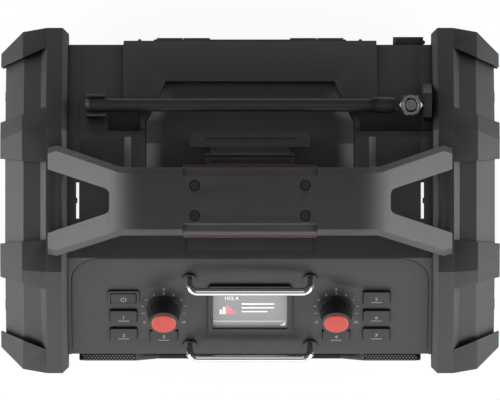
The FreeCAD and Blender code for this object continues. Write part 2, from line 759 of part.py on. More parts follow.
def buildCover(recess):
    plate = prism("coverPlate", "YZ", coverSection, "-coverHalf", "coverHalf")
    ridge = [
        ("80", "rearSlope - 80 + 1"),
        ("100", "rearSlope - 100 + 1"),
        ("96", "rearSlope - 96 - 12"),
        ("80", "rearSlope - 80 - 16"),
    ]
    inner = prism("coverRidge", "YZ", ridge, "-72", "72")
    barrels = []
    for index, (low, high) in enumerate((("-50", "-30"), ("30", "50"))):
        barrels.append(rod("coverBarrel%d" % index, "X", "hingeRadius", "(%s) - (%s)" % (high, low), low,
                           "coverHingeY", "coverHingeZ"))
        barrels.append(box("coverTab%d" % index, (low, high), ("rearFace + 0.7", "rearFace + coverProud"),
                           ("coverHingeZ", "coverHingeZ + 4")))
    bore = rod("coverBore", "X", "hingePin + runningGap", "200", "-100", "coverHingeY", "coverHingeZ")
    solid = fuse("coverSolid", plate, inner, *barrels)
    whole = cut("coverWhole", solid, recess, bore)
    doorZone = box("doorZone", ("-100", "100"), ("coverSeam + 0.3", "140"), ("0", "220"))
    doorBlank = common("batteryCoverBlank", whole, doorZone)
    node("battery_cover", rounded("batteryCover", doorBlank, "10", axis=Vector(0, 1, 0),
                                  where=lambda middle: middle.z < 60 and abs(middle.x) > 90))
    tray = box("trayOuter", ("-43", "43"), ("40", "100"), ("44", "128"))
    trayInner = box("trayInner", ("-39.5", "39.5"), ("43", "101"), ("47", "141"))
    node("battery_tray", cut("batteryTray", tray, trayInner))
    pack = rounded("packBlock", box("packBox", ("-38", "38"), ("46", "98"), ("47", "112")), "4")
    foot = box("packFoot", ("-30", "30"), ("50", "94"), ("112", "120"))
    node("battery_pack", fuse("batteryPack", pack, foot))
    contacts = [box("contact%d" % index, ("%d" % (index * 12 - 19), "%d" % (index * 12 - 17)),
                    ("43.1", "48.9"), ("112.3", "119")) for index in range(4)]
    node("battery_contacts", group("batteryContacts", *contacts))


def buildLatch(pin):
    plate = rounded("latchPlate", box("latchPlateBox", ("-44.4", "44.4"), ("39.6", "51"),
                                      ("latchLevel - 2.7", "latchLevel + 1.6")), "4.5",
                    where=lambda middle: middle.y > 45)
    groove = box("latchGroove", ("-33.5", "33.5"), ("45", "46.6"), ("latchLevel + 0.7", "latchLevel + 3"))
    web = box("latchWeb", ("-29.5", "29.5"), ("latchHinge", "40"), ("latchLevel - 1.5", "latchLevel + 0.9"))
    barrel = rod("latchBarrel", "X", "2.4", "59", "-29.5", "latchHinge", "latchLevel")
    bore = rod("latchBore", "X", "1.25 + runningGap", "70", "-35", "latchHinge", "latchLevel")
    node("latch", cut("latchLever", fuse("latchSolid", plate, web, barrel), groove, bore))
    base = rounded("latchBaseBlock", box("latchBaseBox", ("-33.7", "33.7"), ("24", "32.4"),
                                         ("latchFloor", "latchFloor + 5.2")), "1.2")
    ears = []
    for index, (low, high) in enumerate((("-33.2", "-29.9"), ("29.9", "33.2"))):
        ears.append(rod("latchEar%d" % index, "X", "2.6", "(%s) - (%s)" % (high, low), low, "latchHinge", "latchLevel"))
        ears.append(box("latchEarFoot%d" % index, (low, high), ("32", "latchHinge + 1.4"),
                        ("latchFloor", "latchLevel")))
    dashes = [box("latchDash%d" % index, ("%s - 3" % (index * 8.6 - 25.8), "%s + 3" % (index * 8.6 - 25.8)),
                  ("27.6", "29"), ("latchFloor + 4.4", "latchFloor + 7")) for index in range(7)]
    node("latch_base", cut("latchBase", fuse("latchBaseSolid", base, *ears), group("latchDashes", *dashes), pin))


def buildAntenna():
    # Bracket on the rear slope, a swivel that turns about the rod's line, and an elbow that lifts the rod
    bracket = prism("bracketSolid", "YZ", [
        ("rodY - 12", "rearSlope - rodY + 12 - 2"),
        ("rodY + 16", "rearSlope - rodY - 16 - 2"),
        ("rodY + 16", "rearSlope - rodY - 16 + 6"),
        ("rodY + 9", "rodZ + 4"),
        ("rodY - 9", "rodZ + 4"),
        ("rodY - 12", "rodZ"),
    ], "elbowX + 9.2", "loopInner - 0.8")
    shellTrim = prism("bracketTrim", "YZ", bodySection, "0", "200")
    bearing = rod("bracketBearing", "X", "4 + runningGap", "30", "elbowX", "rodY", "rodZ")
    node("antenna_bracket", cut("antennaBracket", bracket, shellTrim, bearing))
    journal = rod("swivelJournal", "X", "4", "10", "elbowX + 5", "rodY", "rodZ")
    cheekBox = box("swivelBox", ("elbowX - 7", "elbowX + 6"), ("rodY - 7", "rodY + 7"), ("rodZ - 7", "rodZ + 7"))
    cheek = rounded("swivelCheek", cheekBox, "3", axis=Vector(1, 0, 0))
    slot = box("swivelSlot", ("elbowX - 9", "elbowX + 4.6"), ("rodY - 8", "rodY + 8"), ("rodZ - 3.2", "rodZ + 3.2"))
    pin = rod("elbowPin", "Z", "2", "14.4", "elbowX", "rodY", "rodZ - 7.2")
    nut = doc.addObject("Part::Prism", "elbowNut")
    nut.Polygon = 6
    bind(nut, "Circumradius", "8.6")
    bind(nut, "Height", "3.2")
    put(nut, "elbowX", "rodY", "rodZ + 7.1")
    boltSolid = node("antenna_bolt", fuse("antennaBolt", pin, nut))
    node("antenna_swivel", cut("antennaSwivel", fuse("swivelSolid", journal, cheek), slot, boltSolid))
    tongue = box("rodTongue", ("elbowX - 14", "elbowX"), ("rodY - 3.6", "rodY + 3.6"), ("rodZ - 3", "rodZ + 3"))
    knuckle = rod("rodKnuckle", "Z", "4.2", "6", "elbowX", "rodY", "rodZ - 3")
    eye = rod("rodEye", "Z", "2 + runningGap", "20", "elbowX", "rodY", "rodZ - 10")
    collar = rod("rodCollar", "X", "rodRadius + 0.7", "12", "elbowX - 26", "rodY", "rodZ")
    base = rod("rodBase", "X", "rodRadius", "16", "elbowX - 28", "rodY", "rodZ")
    mast = rod("rodMast", "X", "rodRadius - 0.3", "194", "-103", "rodY", "rodZ")
    node("antenna_mast", cut("antennaMast", fuse("mastSolid", tongue, knuckle, collar, base, mast), eye))
    tip = rod("tipBody", "X", "rodRadius", "16", "-119", "rodY", "rodZ")
    dome = cone("tipDome", "X", "rodRadius - 1.4", "rodRadius", "3", "-122", "rodY", "rodZ")
    node("antenna_tip", fuse("antennaTip", tip, dome))


def buildClip():
    floorTrim = prism("clipTrim", "YZ", bodySection, "-200", "200")
    post = box("clipPost", ("-121", "-107"), ("rodY - 9", "rodY + 9.4"), ("170", "rodZ + 3"))
    channel = box("clipChannel", ("-130", "-100"), ("rodY - 5.6", "rodY + 5.6"), ("rodZ - 5.8", "rodZ + 20"))
    node("antenna_clip", cut("antennaClip", post, channel, floorTrim))


def buildSocket():
    # A rubber cap that swings about a barrel moulded along its outer edge
    plate = box("socketCapBox", ("socketHinge - 22.4", "socketHinge"), ("rearFace + 0.2", "rearFace + 5.8"),
                ("106", "134"))
    soft = rounded("socketCapPlate", plate, "3", axis=Vector(0, 1, 0))
    barrel = rod("socketBarrel", "Z", "1.5", "28", "socketHinge", "rearFace + 1.8", "106")
    node("socket_cap", fuse("socketCap", soft, barrel))


def buildFront():
    # Two perforated grilles, angular at the top like the guards, on a lean with the front face
    def leaning(name, inset, proud):
        # A slab that follows the leaning front face, from inset behind it to proud in front
        return prism(name, "YZ", [
            ("-panelBottomEdge + (%s)" % inset, "132"),
            ("-104.7 + (%s)" % inset, "14"),
            ("-104.7 - (%s)" % proud, "14"),
            ("-panelBottomEdge - (%s)" % proud, "132"),
        ], "-130", "130")

    outer = [("60", "18"), ("114", "18"), ("125", "29"), ("125", "117"), ("114", "128"), ("85", "128"),
             ("43", "86"), ("43", "35")]
    inner = [("61", "20.4"), ("113", "20.4"), ("122.6", "30"), ("122.6", "116"), ("113", "125.6"),
             ("86", "125.6"), ("45.4", "85"), ("45.4", "36")]
    speakers = []
    for side in (-1, 1):
        tag = sideName(side)
        block = prism(tag + "GrilleBlock", "XZ", [("%d * %s" % (side, x), z) for x, z in outer], "-130", "-90")
        core = prism(tag + "GrilleCore", "XZ", [("%d * %s" % (side, x), z) for x, z in inner], "-130", "-90")
        dish = common(tag + "GrilleDish", block, leaning(tag + "GrilleSkin", "-0.3", "grilleProud"))
        inside = common(tag + "GrilleInside", core, leaning(tag + "GrilleBack", "4", "grilleProud - 1.4"))
        node("%s_speaker_grille" % tag, cut(tag + "Grille", dish, inside))
        x = "%d * driverSpread" % side
        frame = rod(tag + "DriverFrame", "Y", "driverRadius", "4", x, "-94.6", "driverLevel")
        basket = cone(tag + "Basket", "Y", "driverRadius - 3", "22", "26", x, "-91.2", "driverLevel")
        magnet = rod(tag + "Magnet", "Y", "26", "14", x, "-66.4", "driverLevel")
        hollow = cone(tag + "ConeHollow", "Y", "driverRadius - 4.5", "11", "20", x, "-95.1", "driverLevel")
        speakers.append(cut(tag + "Speaker", fuse(tag + "SpeakerSolid", frame, basket, magnet), hollow))
    node("speaker_drivers", group("speakerDrivers", *speakers))
    centre = prism("centreBlock", "XZ", [
        ("-55", "17"), ("55", "17"), ("39.5", "32.5"), ("39.5", "88"), ("68", "116.5"), ("68", "127"),
        ("-68", "127"), ("-68", "116.5"), ("-39.5", "88"), ("-39.5", "32.5"),
    ], "-130", "-90")
    node("front_centre_panel", common("centrePanel", centre, leaning("centreSkin", "-0.3", "3.8")))


def buildInside(encoderPair):
    node("main_board", box("mainBoard", ("-88", "88"), ("10", "11.6"), ("40", "170")))
    board = box("controlBoardBlank", ("-106", "106"), ("-38", "20"), ("-10.4", "-8.8"))
    holes = [rod("%sBoardHole" % sideName(side), "Z", "knobShaft + 0.5", "4", "%d * knobSpread" % side,
                 "knobRise", "-12") for side in (-1, 1)]
    node("control_board", onPanel(cut("controlBoard", board, encoderPair, group("boardHoles", *holes))))
    node("power_module", box("powerModule", ("-60", "40"), ("14", "44"), ("20", "38")))


bolts = buildHandleBolts()
feet = buildFeet()
screwSets = [buildGuardScrew(side) for side in (-1, 1)]
guardScrews = node("guard_screws", group("guardScrews", *(screwSets[0] + screwSets[1])))
for side in (-1, 1):
    buildGuard(side, guardScrews, bolts, feet)
pocket = buildPanel()
buildPowerFrame()
encoders = [buildKnob(side) for side in (-1, 1)]
encoderPair = group("encoderPair", *encoders)
node("encoders", onPanel(group("encoderSet", encoderPair)))
buildDisplay()
buildCollars()
for name, rise in barRows.items():
    buildBar(name, rise)
buildHandle(bolts)
pins = buildPins()
rearTools = buildRearTools()
buildBody(pocket, guardScrews, pins, rearTools)
buildCover(rearTools[0])
buildLatch(pins)
buildAntenna()
buildClip()
buildSocket()
buildFront()
buildInside(encoderPair)
doc.recompute()

faults = [item.Name for item in doc.Objects if "Invalid" in item.State or "Error" in item.State]
for item in nodes:
    if item.Shape.isNull() or not item.Shape.isValid() or not item.Shape.Solids:
        faults.append(item.Label)
if faults:
    raise RuntimeError("not built: " + ", ".join(faults))

os.makedirs("parts", exist_ok=True)
for item in nodes:
    item.Shape.exportStep("parts/%s.step" % item.Label)
print("%d sub-parts, %d solids" % (len(nodes), sum(len(item.Shape.Solids) for item in nodes)))
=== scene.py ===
import json
import math
import bmesh
import bpy
from mathutils import Matrix, Vector


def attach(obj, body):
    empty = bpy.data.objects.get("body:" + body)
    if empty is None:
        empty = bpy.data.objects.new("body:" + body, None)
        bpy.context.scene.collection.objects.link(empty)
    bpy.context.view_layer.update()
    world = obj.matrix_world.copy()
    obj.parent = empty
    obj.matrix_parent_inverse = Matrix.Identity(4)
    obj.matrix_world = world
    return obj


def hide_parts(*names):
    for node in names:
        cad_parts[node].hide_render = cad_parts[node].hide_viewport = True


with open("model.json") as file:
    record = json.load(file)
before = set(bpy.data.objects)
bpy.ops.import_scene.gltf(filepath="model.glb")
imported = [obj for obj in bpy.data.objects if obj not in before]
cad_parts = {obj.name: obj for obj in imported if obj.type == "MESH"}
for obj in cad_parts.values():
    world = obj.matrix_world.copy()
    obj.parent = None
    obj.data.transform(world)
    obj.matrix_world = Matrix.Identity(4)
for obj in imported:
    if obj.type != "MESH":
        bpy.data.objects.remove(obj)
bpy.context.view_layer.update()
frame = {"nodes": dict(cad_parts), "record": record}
nodes = frame["nodes"]
mm = 0.001
print("frame loaded:", len(nodes), "nodes")

scene = bpy.context.scene
scene.view_settings.view_transform = "Standard"


def bodyOf(nodeName):
    for bodyName, members in frame["record"]["behaviour"]["bodies"].items():
        if nodeName in members:
            return bodyName
    return "radio"


# Node maths: a wrapped socket that adds Math nodes for the usual operators


class Wave:
    def __init__(self, graph, socket):
        self.graph = graph
        self.socket = socket

    def join(self, operation, a, b=None):
        given = {0: a} if b is None else {0: a, 1: b}
        return self.graph.node("ShaderNodeMath", {"operation": operation}, given)

    def __add__(self, other):
        return self.join("ADD", self, other)

    def __radd__(self, other):
        return self.join("ADD", other, self)

    def __sub__(self, other):
        return self.join("SUBTRACT", self, other)

    def __rsub__(self, other):
        return self.join("SUBTRACT", other, self)

    def __mul__(self, other):
        return self.join("MULTIPLY", self, other)

    def __truediv__(self, other):
        return self.join("DIVIDE", self, other)

    def __gt__(self, other):
        return self.join("GREATER_THAN", self, other)

    def __mod__(self, other):
        return self.join("FLOORED_MODULO", self, other)

    def whole(self):
        return self.join("ROUND", self)


class Graph:
    def __init__(self, tree):
        self.tree = tree
        tree.nodes.clear()

    def node(self, kind, settings=None, given=None, out=0):
        made = self.tree.nodes.new(kind)
        for key, value in (settings or {}).items():
            if key == "stops":
                self.setStops(made.color_ramp, value)
            else:
                setattr(made, key, value)
        for key, value in (given or {}).items():
            socket = made.inputs[key]
            if isinstance(value, Wave):
                self.tree.links.new(value.socket, socket)
            else:
                socket.default_value = value
        return None if out is None else Wave(self, made.outputs[out])

    def setStops(self, ramp, stops):
        while len(ramp.elements) < len(stops):
            ramp.elements.new(0.5)
        for element, (place, value) in zip(ramp.elements, stops):
            element.position = place
            element.color = (value, value, value, 1) if isinstance(value, (int, float)) else value


class Shader(Graph):
    def __init__(self, name):
        self.material = bpy.data.materials.new(name)
        self.material.use_nodes = True
        super().__init__(self.material.node_tree)
        self.output = self.tree.nodes.new("ShaderNodeOutputMaterial")

    def place(self):
        return self.node("ShaderNodeTexCoord", out=3)

    def noise(self, scale, detail=4, roughness=0.55, where=None):
        return self.node("ShaderNodeTexNoise", None, {"Vector": where or self.place(), "Scale": scale,
                                                      "Detail": detail, "Roughness": roughness})

    def ramp(self, value, stops):
        return self.node("ShaderNodeValToRGB", {"stops": stops}, {"Fac": value})

    def mix(self, factor, a, b):
        return self.node("ShaderNodeMix", {"data_type": "RGBA"}, {0: factor, 6: a, 7: b}, out=2)

    def edges(self, radius):
        # Near 1 where a rounded normal leaves the true one: along convex and concave edges
        soft = self.node("ShaderNodeBevel", {"samples": 6}, {"Radius": radius})
        true = self.node("ShaderNodeNewGeometry", out=1)
        dot = self.node("ShaderNodeVectorMath", {"operation": "DOT_PRODUCT"}, {0: soft, 1: true}, out=1)
        return 1 - dot

    def bump(self, height, strength, distance):
        return self.node("ShaderNodeBump", None, {"Strength": strength, "Distance": distance, "Height": height})

    def surface(self, **sockets):
        shader = self.node("ShaderNodeBsdfPrincipled", None,
                           {key.replace("_", " "): value for key, value in sockets.items()})
        self.tree.links.new(shader.socket, self.output.inputs["Surface"])
        return self.material


def grey(value):
    return (value, value, value, 1)


# Finishes

mouldings = {
    # colour, roughness, grain size per metre, grain height, edge wear
    "charcoal": (0.025, 0.54, 2600, 0.00007, 0.5),
    "handle": (0.034, 0.50, 2600, 0.00006, 0.5),
    "guardRubber": (0.022, 0.62, 1500, 0.00008, 0.35),
    "deepBlack": (0.010, 0.42, 2600, 0.00004, 0.4),
    "antennaBlack": (0.022, 0.45, 2600, 0.00004, 0.4),
    "keySkin": (0.012, 0.48, 3200, 0.00003, 0.2),
    "panelSkin": (0.020, 0.46, 3000, 0.00004, 0.3),
}


# What all mouldings share: noise scales per metre, the reach of worn edges, and how far tone and roughness vary
skin = {
    "broad": 9,
    "rub": 160,
    "edgeReach": 0.0009,
    "edgeGain": 6,
    "edgeStops": [(0.15, 0), (0.9, 1)],
    "rubStops": [(0.42, 0), (0.62, 1)],
    "dark": 0.82,
    "light": 1.2,
    "wornGain": 2.6,
    "wornLift": 0.01,
    "broadRough": 0.12,
    "rubRough": 0.10,
    "wornPolish": 0.08,
    "grainStrength": 0.35,
}


def moulded(name):
    tone, rough, grain, height, wear = mouldings[name]
    shader = Shader(name)
    broad = shader.noise(skin["broad"], 3)
    fine = shader.noise(grain, 3, 0.6)
    rub = shader.noise(skin["rub"], 5, 0.7)
    edge = shader.ramp(shader.edges(skin["edgeReach"]) * skin["edgeGain"], skin["edgeStops"])
    worn = edge * shader.ramp(rub, skin["rubStops"])
    base = shader.mix(broad, grey(tone * skin["dark"]), grey(tone * skin["light"]))
    colour = shader.mix(worn * wear, base, grey(tone * skin["wornGain"] + skin["wornLift"]))
    uneven = (broad - 0.5) * skin["broadRough"] + (rub - 0.5) * skin["rubRough"]
    return shader.surface(
        Base_Color=colour,
        Roughness=rough + uneven - worn * skin["wornPolish"],
        Normal=shader.bump(fine, skin["grainStrength"], height),
    )


def shade(colour, share):
    return tuple(min(1, part * share) for part in colour) + (1,)


def coloured(name, colour, rough, grain=2400, height=0.00003):
    shader = Shader(name)
    broad = shader.noise(40, 3)
    fine = shader.noise(grain, 3)
    scuff = shader.ramp(shader.noise(420, 6, 0.7), [(0.50, 0), (0.68, 1)])
    deep = shade(colour, 0.82)
    pale = shade(colour, 1.12)
    return shader.surface(Base_Color=shader.mix(broad, deep, pale), Roughness=rough + scuff * 0.12,
                          Normal=shader.bump(fine, 0.3, height))


def metal(name, tone, rough, scratch=0.1):
    shader = Shader(name)
    stretched = shader.node("ShaderNodeMapping", None, {"Vector": shader.place(), "Scale": (60, 900, 900)})
    lines = shader.noise(1, 4, 0.6, stretched)
    spots = shader.noise(90, 4)
    return shader.surface(Base_Color=shader.mix(spots, grey(tone * 0.92), grey(tone)), Metallic=1.0,
                          Roughness=rough + lines * scratch, Normal=shader.bump(lines, 0.1, 0.00002))


def glossy(name, colour, rough, coat=0.6):
    shader = Shader(name)
    smear = shader.noise(35, 5, 0.65)
    return shader.surface(Base_Color=shader.mix(smear, shade(colour, 0.9), shade(colour, 1)),
                          Roughness=rough + smear * 0.08, Coat_Weight=coat, Coat_Roughness=0.04)


def glowing(name, colour, strength):
    shader = Shader(name)
    patch = shader.noise(60, 2)
    lit = shader.mix(patch, shade(colour, 0.94), shade(colour, 1))
    return shader.surface(Base_Color=lit, Roughness=0.25, Emission_Color=lit, Emission_Strength=strength)


def clearLens():
    shader = Shader("clearLens")
    smear = shader.noise(45, 5, 0.6)
    return shader.surface(Base_Color=grey(0.9), Roughness=0.03 + smear * 0.05, Alpha=0.12, Coat_Weight=0.5)


finish = {name: moulded(name) for name in mouldings}
finish["redCap"] = coloured("redCap", (0.50, 0.055, 0.038), 0.48)
finish["redGrip"] = coloured("redGrip", (0.045, 0.004, 0.004), 0.5, 1400, 0.00006)
finish["chrome"] = metal("chrome", 0.86, 0.05, 0.05)
finish["darkSteel"] = metal("darkSteel", 0.05, 0.3, 0.15)
finish["edgeSteel"] = metal("edgeSteel", 0.17, 0.22, 0.12)
finish["brass"] = metal("brass", 0.55, 0.25)
finish["smoked"] = glossy("smoked", (0.012, 0.007, 0.005), 0.22, 0.1)
finish["board"] = coloured("board", (0.02, 0.12, 0.05), 0.4)
finish["screenBack"] = glowing("screenBack", (0.12, 0.121, 0.124), 0.16)
finish["screenWhite"] = glowing("screenWhite", (0.85, 0.86, 0.88), 0.4)
finish["screenRed"] = glowing("screenRed", (0.75, 0.05, 0.05), 0.3)
finish["lens"] = clearLens()
finish["mark"] = coloured("mark", (0.36, 0.36, 0.37), 0.5)
finish["expanded"] = coloured("expanded", (0.3, 0.3, 0.3), 0.5)
print("finishes made:", len(finish))

wears = {
    "charcoal": ["front_shell", "rear_shell", "left_end_plate", "right_end_plate", "battery_cover",
                 "front_centre_panel", "latch", "left_end_guard", "right_end_guard"],
    "guardRubber": ["left_guard_pads", "right_guard_pads", "rubber_feet", "socket_cap"],
    "handle": ["handle_frame", "grip_cover"],
    "antennaBlack": ["antenna_mast", "antenna_tip", "antenna_swivel", "antenna_clip", "antenna_bracket"],
    "deepBlack": ["bar_collars", "left_knob", "right_knob", "display_bezel", "battery_tray", "battery_pack",
                  "encoders", "power_module", "power_key_frame", "latch_base", "speaker_drivers",
                  "left_speaker_grille", "right_speaker_grille"],
    "panelSkin": ["control_panel"],
    "redCap": ["left_knob_cap", "right_knob_cap"],
    "redGrip": ["grip_insert"],
    "chrome": ["upper_guard_bar", "lower_guard_bar"],
    "darkSteel": ["guard_screws", "handle_bolts", "grip_screws", "hinge_pins", "antenna_bolt", "left_knob_shaft",
                  "right_knob_shaft"],
    "brass": ["battery_contacts"],
    "smoked": ["status_window"],
    "board": ["main_board", "control_board"],
    "screenBack": ["display_module"],
    "lens": ["display_lens"],
    "keySkin": [name for name in nodes if name.endswith("_key")],
}
worn = {name: finish[key] for key, names in wears.items() for name in names}


def dress(item, material):
    item.data.materials.clear()
    item.data.materials.append(material)


for name, item in nodes.items():
    dress(item, worn.get(name, finish["charcoal"]))


# Moulded pieces get real rounded edges: a copy of the node's mesh, merged, with a bevel

softEdges = {
    "rear_shell": 0.0008,
    "left_end_guard": 0.0014,
    "right_end_guard": 0.0014,
    "left_guard_pads": 0.0024,
    "right_guard_pads": 0.0024,
    "left_end_plate": 0.0006,
    "right_end_plate": 0.0006,
    "handle_frame": 0.0010,
    "grip_cover": 0.0008,
    "grip_insert": 0.0012,
    "battery_cover": 0.0012,
    "front_centre_panel": 0.0007,
    "control_panel": 0.0004,
    "display_bezel": 0.0006,
    "latch": 0.0006,
    "latch_base": 0.0005,
    "antenna_bracket": 0.0008,
    "antenna_swivel": 0.0006,
    "antenna_clip": 0.0006,
    "socket_cap": 0.0010,
    "power_key_frame": 0.0004,
    "left_knob_cap": 0.0003,
    "right_knob_cap": 0.0003,
    "rubber_feet": 0.0008,
}
softEdges.update({name: 0.0005 for name in nodes if name.endswith("_key")})
rounding = {"segments": 3, "sharpestFlat": 25, "smoothBelow": 40, "weld": 0.000002, "flat": 0.5, "areaSlack": 0.001}


def meshFrom(build, name):
    mesh = bpy.data.meshes.new(name)
    build.to_mesh(mesh)
    build.free()
    return mesh


def addPiece(mesh, name, material, body, replaced=()):
    item = bpy.data.objects.new(name, mesh)
    scene.collection.objects.link(item)
    dress(item, material)
    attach(item, body)
    if replaced:
        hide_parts(*replaced)


def smoothByAngle(mesh, degrees):
    for face in mesh.polygons:
        face.use_smooth = True
    mesh.set_sharp_from_angle(angle=math.radians(degrees))


def bakeModifiers(item):
    depsgraph = bpy.context.evaluated_depsgraph_get()
    mesh = bpy.data.meshes.new_from_object(item.evaluated_get(depsgraph), depsgraph=depsgraph)
    old = item.data
    item.modifiers.clear()
    item.data = mesh
    bpy.data.meshes.remove(old)


def merged(nodeName, flatten):
    build = bmesh.new()
    build.from_mesh(nodes[nodeName].data)
    bmesh.ops.remove_doubles(build, verts=build.verts, dist=rounding["weld"])
    if flatten:
        limit = math.radians(rounding["flat"])
        bmesh.ops.dissolve_limit(build, angle_limit=limit, verts=build.verts, edges=build.edges)
    return build, sum(face.calc_area() for face in build.faces)


def chamfer(mesh, width, chosen):
    # One flat cut along the edges that the test picks
    build = bmesh.new()
    build.from_mesh(mesh)
    build.normal_update()
    edges = [edge for edge in build.edges if len(edge.link_faces) == 2 and chosen(edge)]
    bmesh.ops.bevel(build, geom=edges, offset=width, segments=1, affect="EDGES", clamp_overlap=True)
    build.to_mesh(mesh)
    build.free()


rim = {"cut": 4.8, "beyond": 23.5, "uprightBelow": 0.1, "topAbove": 0.4}


def handleRim(edge):
    # Where the top of the handle meets its front or rear side, outside the openings of the arms
    y = (edge.verts[0].co.y + edge.verts[1].co.y) / 2
    rises = sorted(face.normal.z for face in edge.link_faces)
    upright = min(edge.link_faces, key=lambda face: abs(face.normal.z))
    outward = upright.normal.y * y > 0.5 * abs(y)
    crease = abs(rises[0]) < rim["uprightBelow"] and rises[1] > rim["topAbove"]
    return abs(y) > rim["beyond"] * mm and crease and outward


wideCuts = {"handle_frame": (rim["cut"] * mm, handleRim)}

# The outer wall of each see-through slit flares out towards the floor
slit = {"wall": 128.8, "slack": 0.02, "half": 14, "below": 100, "flare": 1.6}


def openSlit(mesh):
    for vertex in mesh.vertices:
        x, y, z = vertex.co / mm
        if abs(abs(x) - slit["wall"]) < slit["slack"] and abs(y) < slit["half"] and z < slit["below"]:
            vertex.co.x += math.copysign(slit["flare"] * mm, x)


def soften(nodeName, width):
    # Flat faces are joined before the bevel, unless that would close an opening in one of them
    plain, plainArea = merged(nodeName, False)
    flat, flatArea = merged(nodeName, True)
    unchanged = abs(flatArea / plainArea - 1) < rounding["areaSlack"]
    keep, spare = (flat, plain) if unchanged else (plain, flat)
    if keep is plain:
        print("left in triangles:", nodeName)
    spare.free()
    mesh = meshFrom(keep, nodeName + "_soft")
    if nodeName in wideCuts:
        chamfer(mesh, *wideCuts[nodeName])
    if nodeName.endswith("end_plate"):
        openSlit(mesh)
    item = bpy.data.objects.new(nodeName + "_soft", mesh)
    scene.collection.objects.link(item)
    bevel = item.modifiers.new("Bevel", "BEVEL")
    bevel.width = width
    bevel.segments = rounding["segments"]
    bevel.limit_method = "ANGLE"
    bevel.angle_limit = math.radians(rounding["sharpestFlat"])
    bevel.use_clamp_overlap = True
    bevel.miter_outer = "MITER_ARC"
    bevel.harden_normals = False
    bakeModifiers(item)
    smoothByAngle(item.data, rounding["smoothBelow"])
    dress(item, worn[nodeName])
    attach(item, bodyOf(nodeName))
    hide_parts(nodeName)


for name, width in softEdges.items():
    soften(name, width)
print("rounded edges:", len(softEdges))


# Building blocks for the pieces that are drawn here


def closedMesh(build, name, place=None):
    bmesh.ops.remove_doubles(build, verts=build.verts, dist=0.0000005)
    if place:
        build.transform(place)
    bmesh.ops.recalc_face_normals(build, faces=build.faces)
    return meshFrom(build, name)


def loopsMesh(name, loops, place=None, ring=False):
    # Joins loops of equal length; the first and last are capped, or joined to each other in a ring
    build = bmesh.new()
    rows = [[build.verts.new(point) for point in loop] for loop in loops]
    count = len(rows[0])
    pairs = list(zip(rows, rows[1:])) + ([(rows[-1], rows[0])] if ring else [])
    for low, high in pairs:
        for index in range(count):
            after = (index + 1) % count
            build.faces.new((low[index], low[after], high[after], high[index]))
    if not ring:
        build.faces.new(rows[0])
        build.faces.new(rows[-1])
    return closedMesh(build, name, place)


def circle(radius, level, sides):
    angles = [math.tau * index / sides for index in range(sides)]
    return [(radius * math.cos(angle), radius * math.sin(angle), level) for angle in angles]


def turned(name, profile, sides=32, place=None):
    # A solid of revolution about local Z from (radius, level) pairs
    return loopsMesh(name, [circle(radius, level, sides) for radius, level in profile], place)


def joined(name, meshes):
    build = bmesh.new()
    for mesh in meshes:
        build.from_mesh(mesh)
        bpy.data.meshes.remove(mesh)
    return meshFrom(build, name)


def block(name, low, high, place=None):
    (x0, y0, z0), (x1, y1, z1) = low, high
    loops = [[(x0, y0, z), (x1, y0, z), (x1, y1, z), (x0, y1, z)] for z in (z0, z1)]
    return loopsMesh(name, loops, place)


def lettering(name, words, size, place, thick=0.00004):
    curve = bpy.data.curves.new(name, "FONT")
    curve.body = words
    curve.size = size
    curve.extrude = thick
    curve.align_x = "CENTER"
    curve.align_y = "CENTER"
    item = bpy.data.objects.new(name, curve)
    scene.collection.objects.link(item)
    depsgraph = bpy.context.evaluated_depsgraph_get()
    mesh = bpy.data.meshes.new_from_object(item.evaluated_get(depsgraph), depsgraph=depsgraph)
    bpy.data.objects.remove(item)
    bpy.data.curves.remove(curve)
    mesh.transform(place)
    return mesh


# The control panel's own frame: local X across, local Y up the slope, local Z out of it
panel = {"y": -78.4, "z": 173.1, "slope": 45}
panelTurn = Matrix.Rotation(math.radians(panel["slope"]), 4, "X")
panelPlace = Matrix.Translation((0, panel["y"] * mm, panel["z"] * mm)) @ panelTurn


def onPanel(x, rise, level=0.0):
    # In millimetres along the panel
    return panelPlace @ Matrix.Translation((x * mm, rise * mm, level * mm))


# Repeats: each recipe is a Geometry Nodes tree with named inputs


class Recipe(Graph):
    def __init__(self, name, inputs):
        super().__init__(bpy.data.node_groups.new(name, "GeometryNodeTree"))
        face = self.tree.interface
        face.new_socket("Geometry", in_out="OUTPUT", socket_type="NodeSocketGeometry")
        face.new_socket("Geometry", in_out="INPUT", socket_type="NodeSocketGeometry")
        for label, kind in inputs.items():
            face.new_socket(label, in_out="INPUT", socket_type="NodeSocket" + kind)
        self.start = self.tree.nodes.new("NodeGroupInput")
        self.end = self.tree.nodes.new("NodeGroupOutput")

    def given(self, label):
        return Wave(self, self.start.outputs[label])

    def finish(self, points, stamp, turn=None):
        copies = self.node("GeometryNodeInstanceOnPoints", None,
                           {"Points": points, "Instance": stamp, **({"Rotation": turn} if turn else {})})
        solid = self.node("GeometryNodeRealizeInstances", None, {"Geometry": copies})
        coloured = self.node("GeometryNodeSetMaterial", None, {"Geometry": solid, "Material": self.given("Material")})
        self.tree.links.new(coloured.socket, self.end.inputs["Geometry"])

    def run(self, mesh, name, values):
        item = bpy.data.objects.new(name, mesh)
        scene.collection.objects.link(item)
        modifier = item.modifiers.new(name, "NODES")
        modifier.node_group = self.tree
        for socket in self.tree.interface.items_tree:
            if socket.in_out == "INPUT" and socket.name in values:
                modifier[socket.identifier] = values[socket.name]
        bakeModifiers(item)
        made = item.data
        bpy.data.objects.remove(item)
        made.name = name
        return made


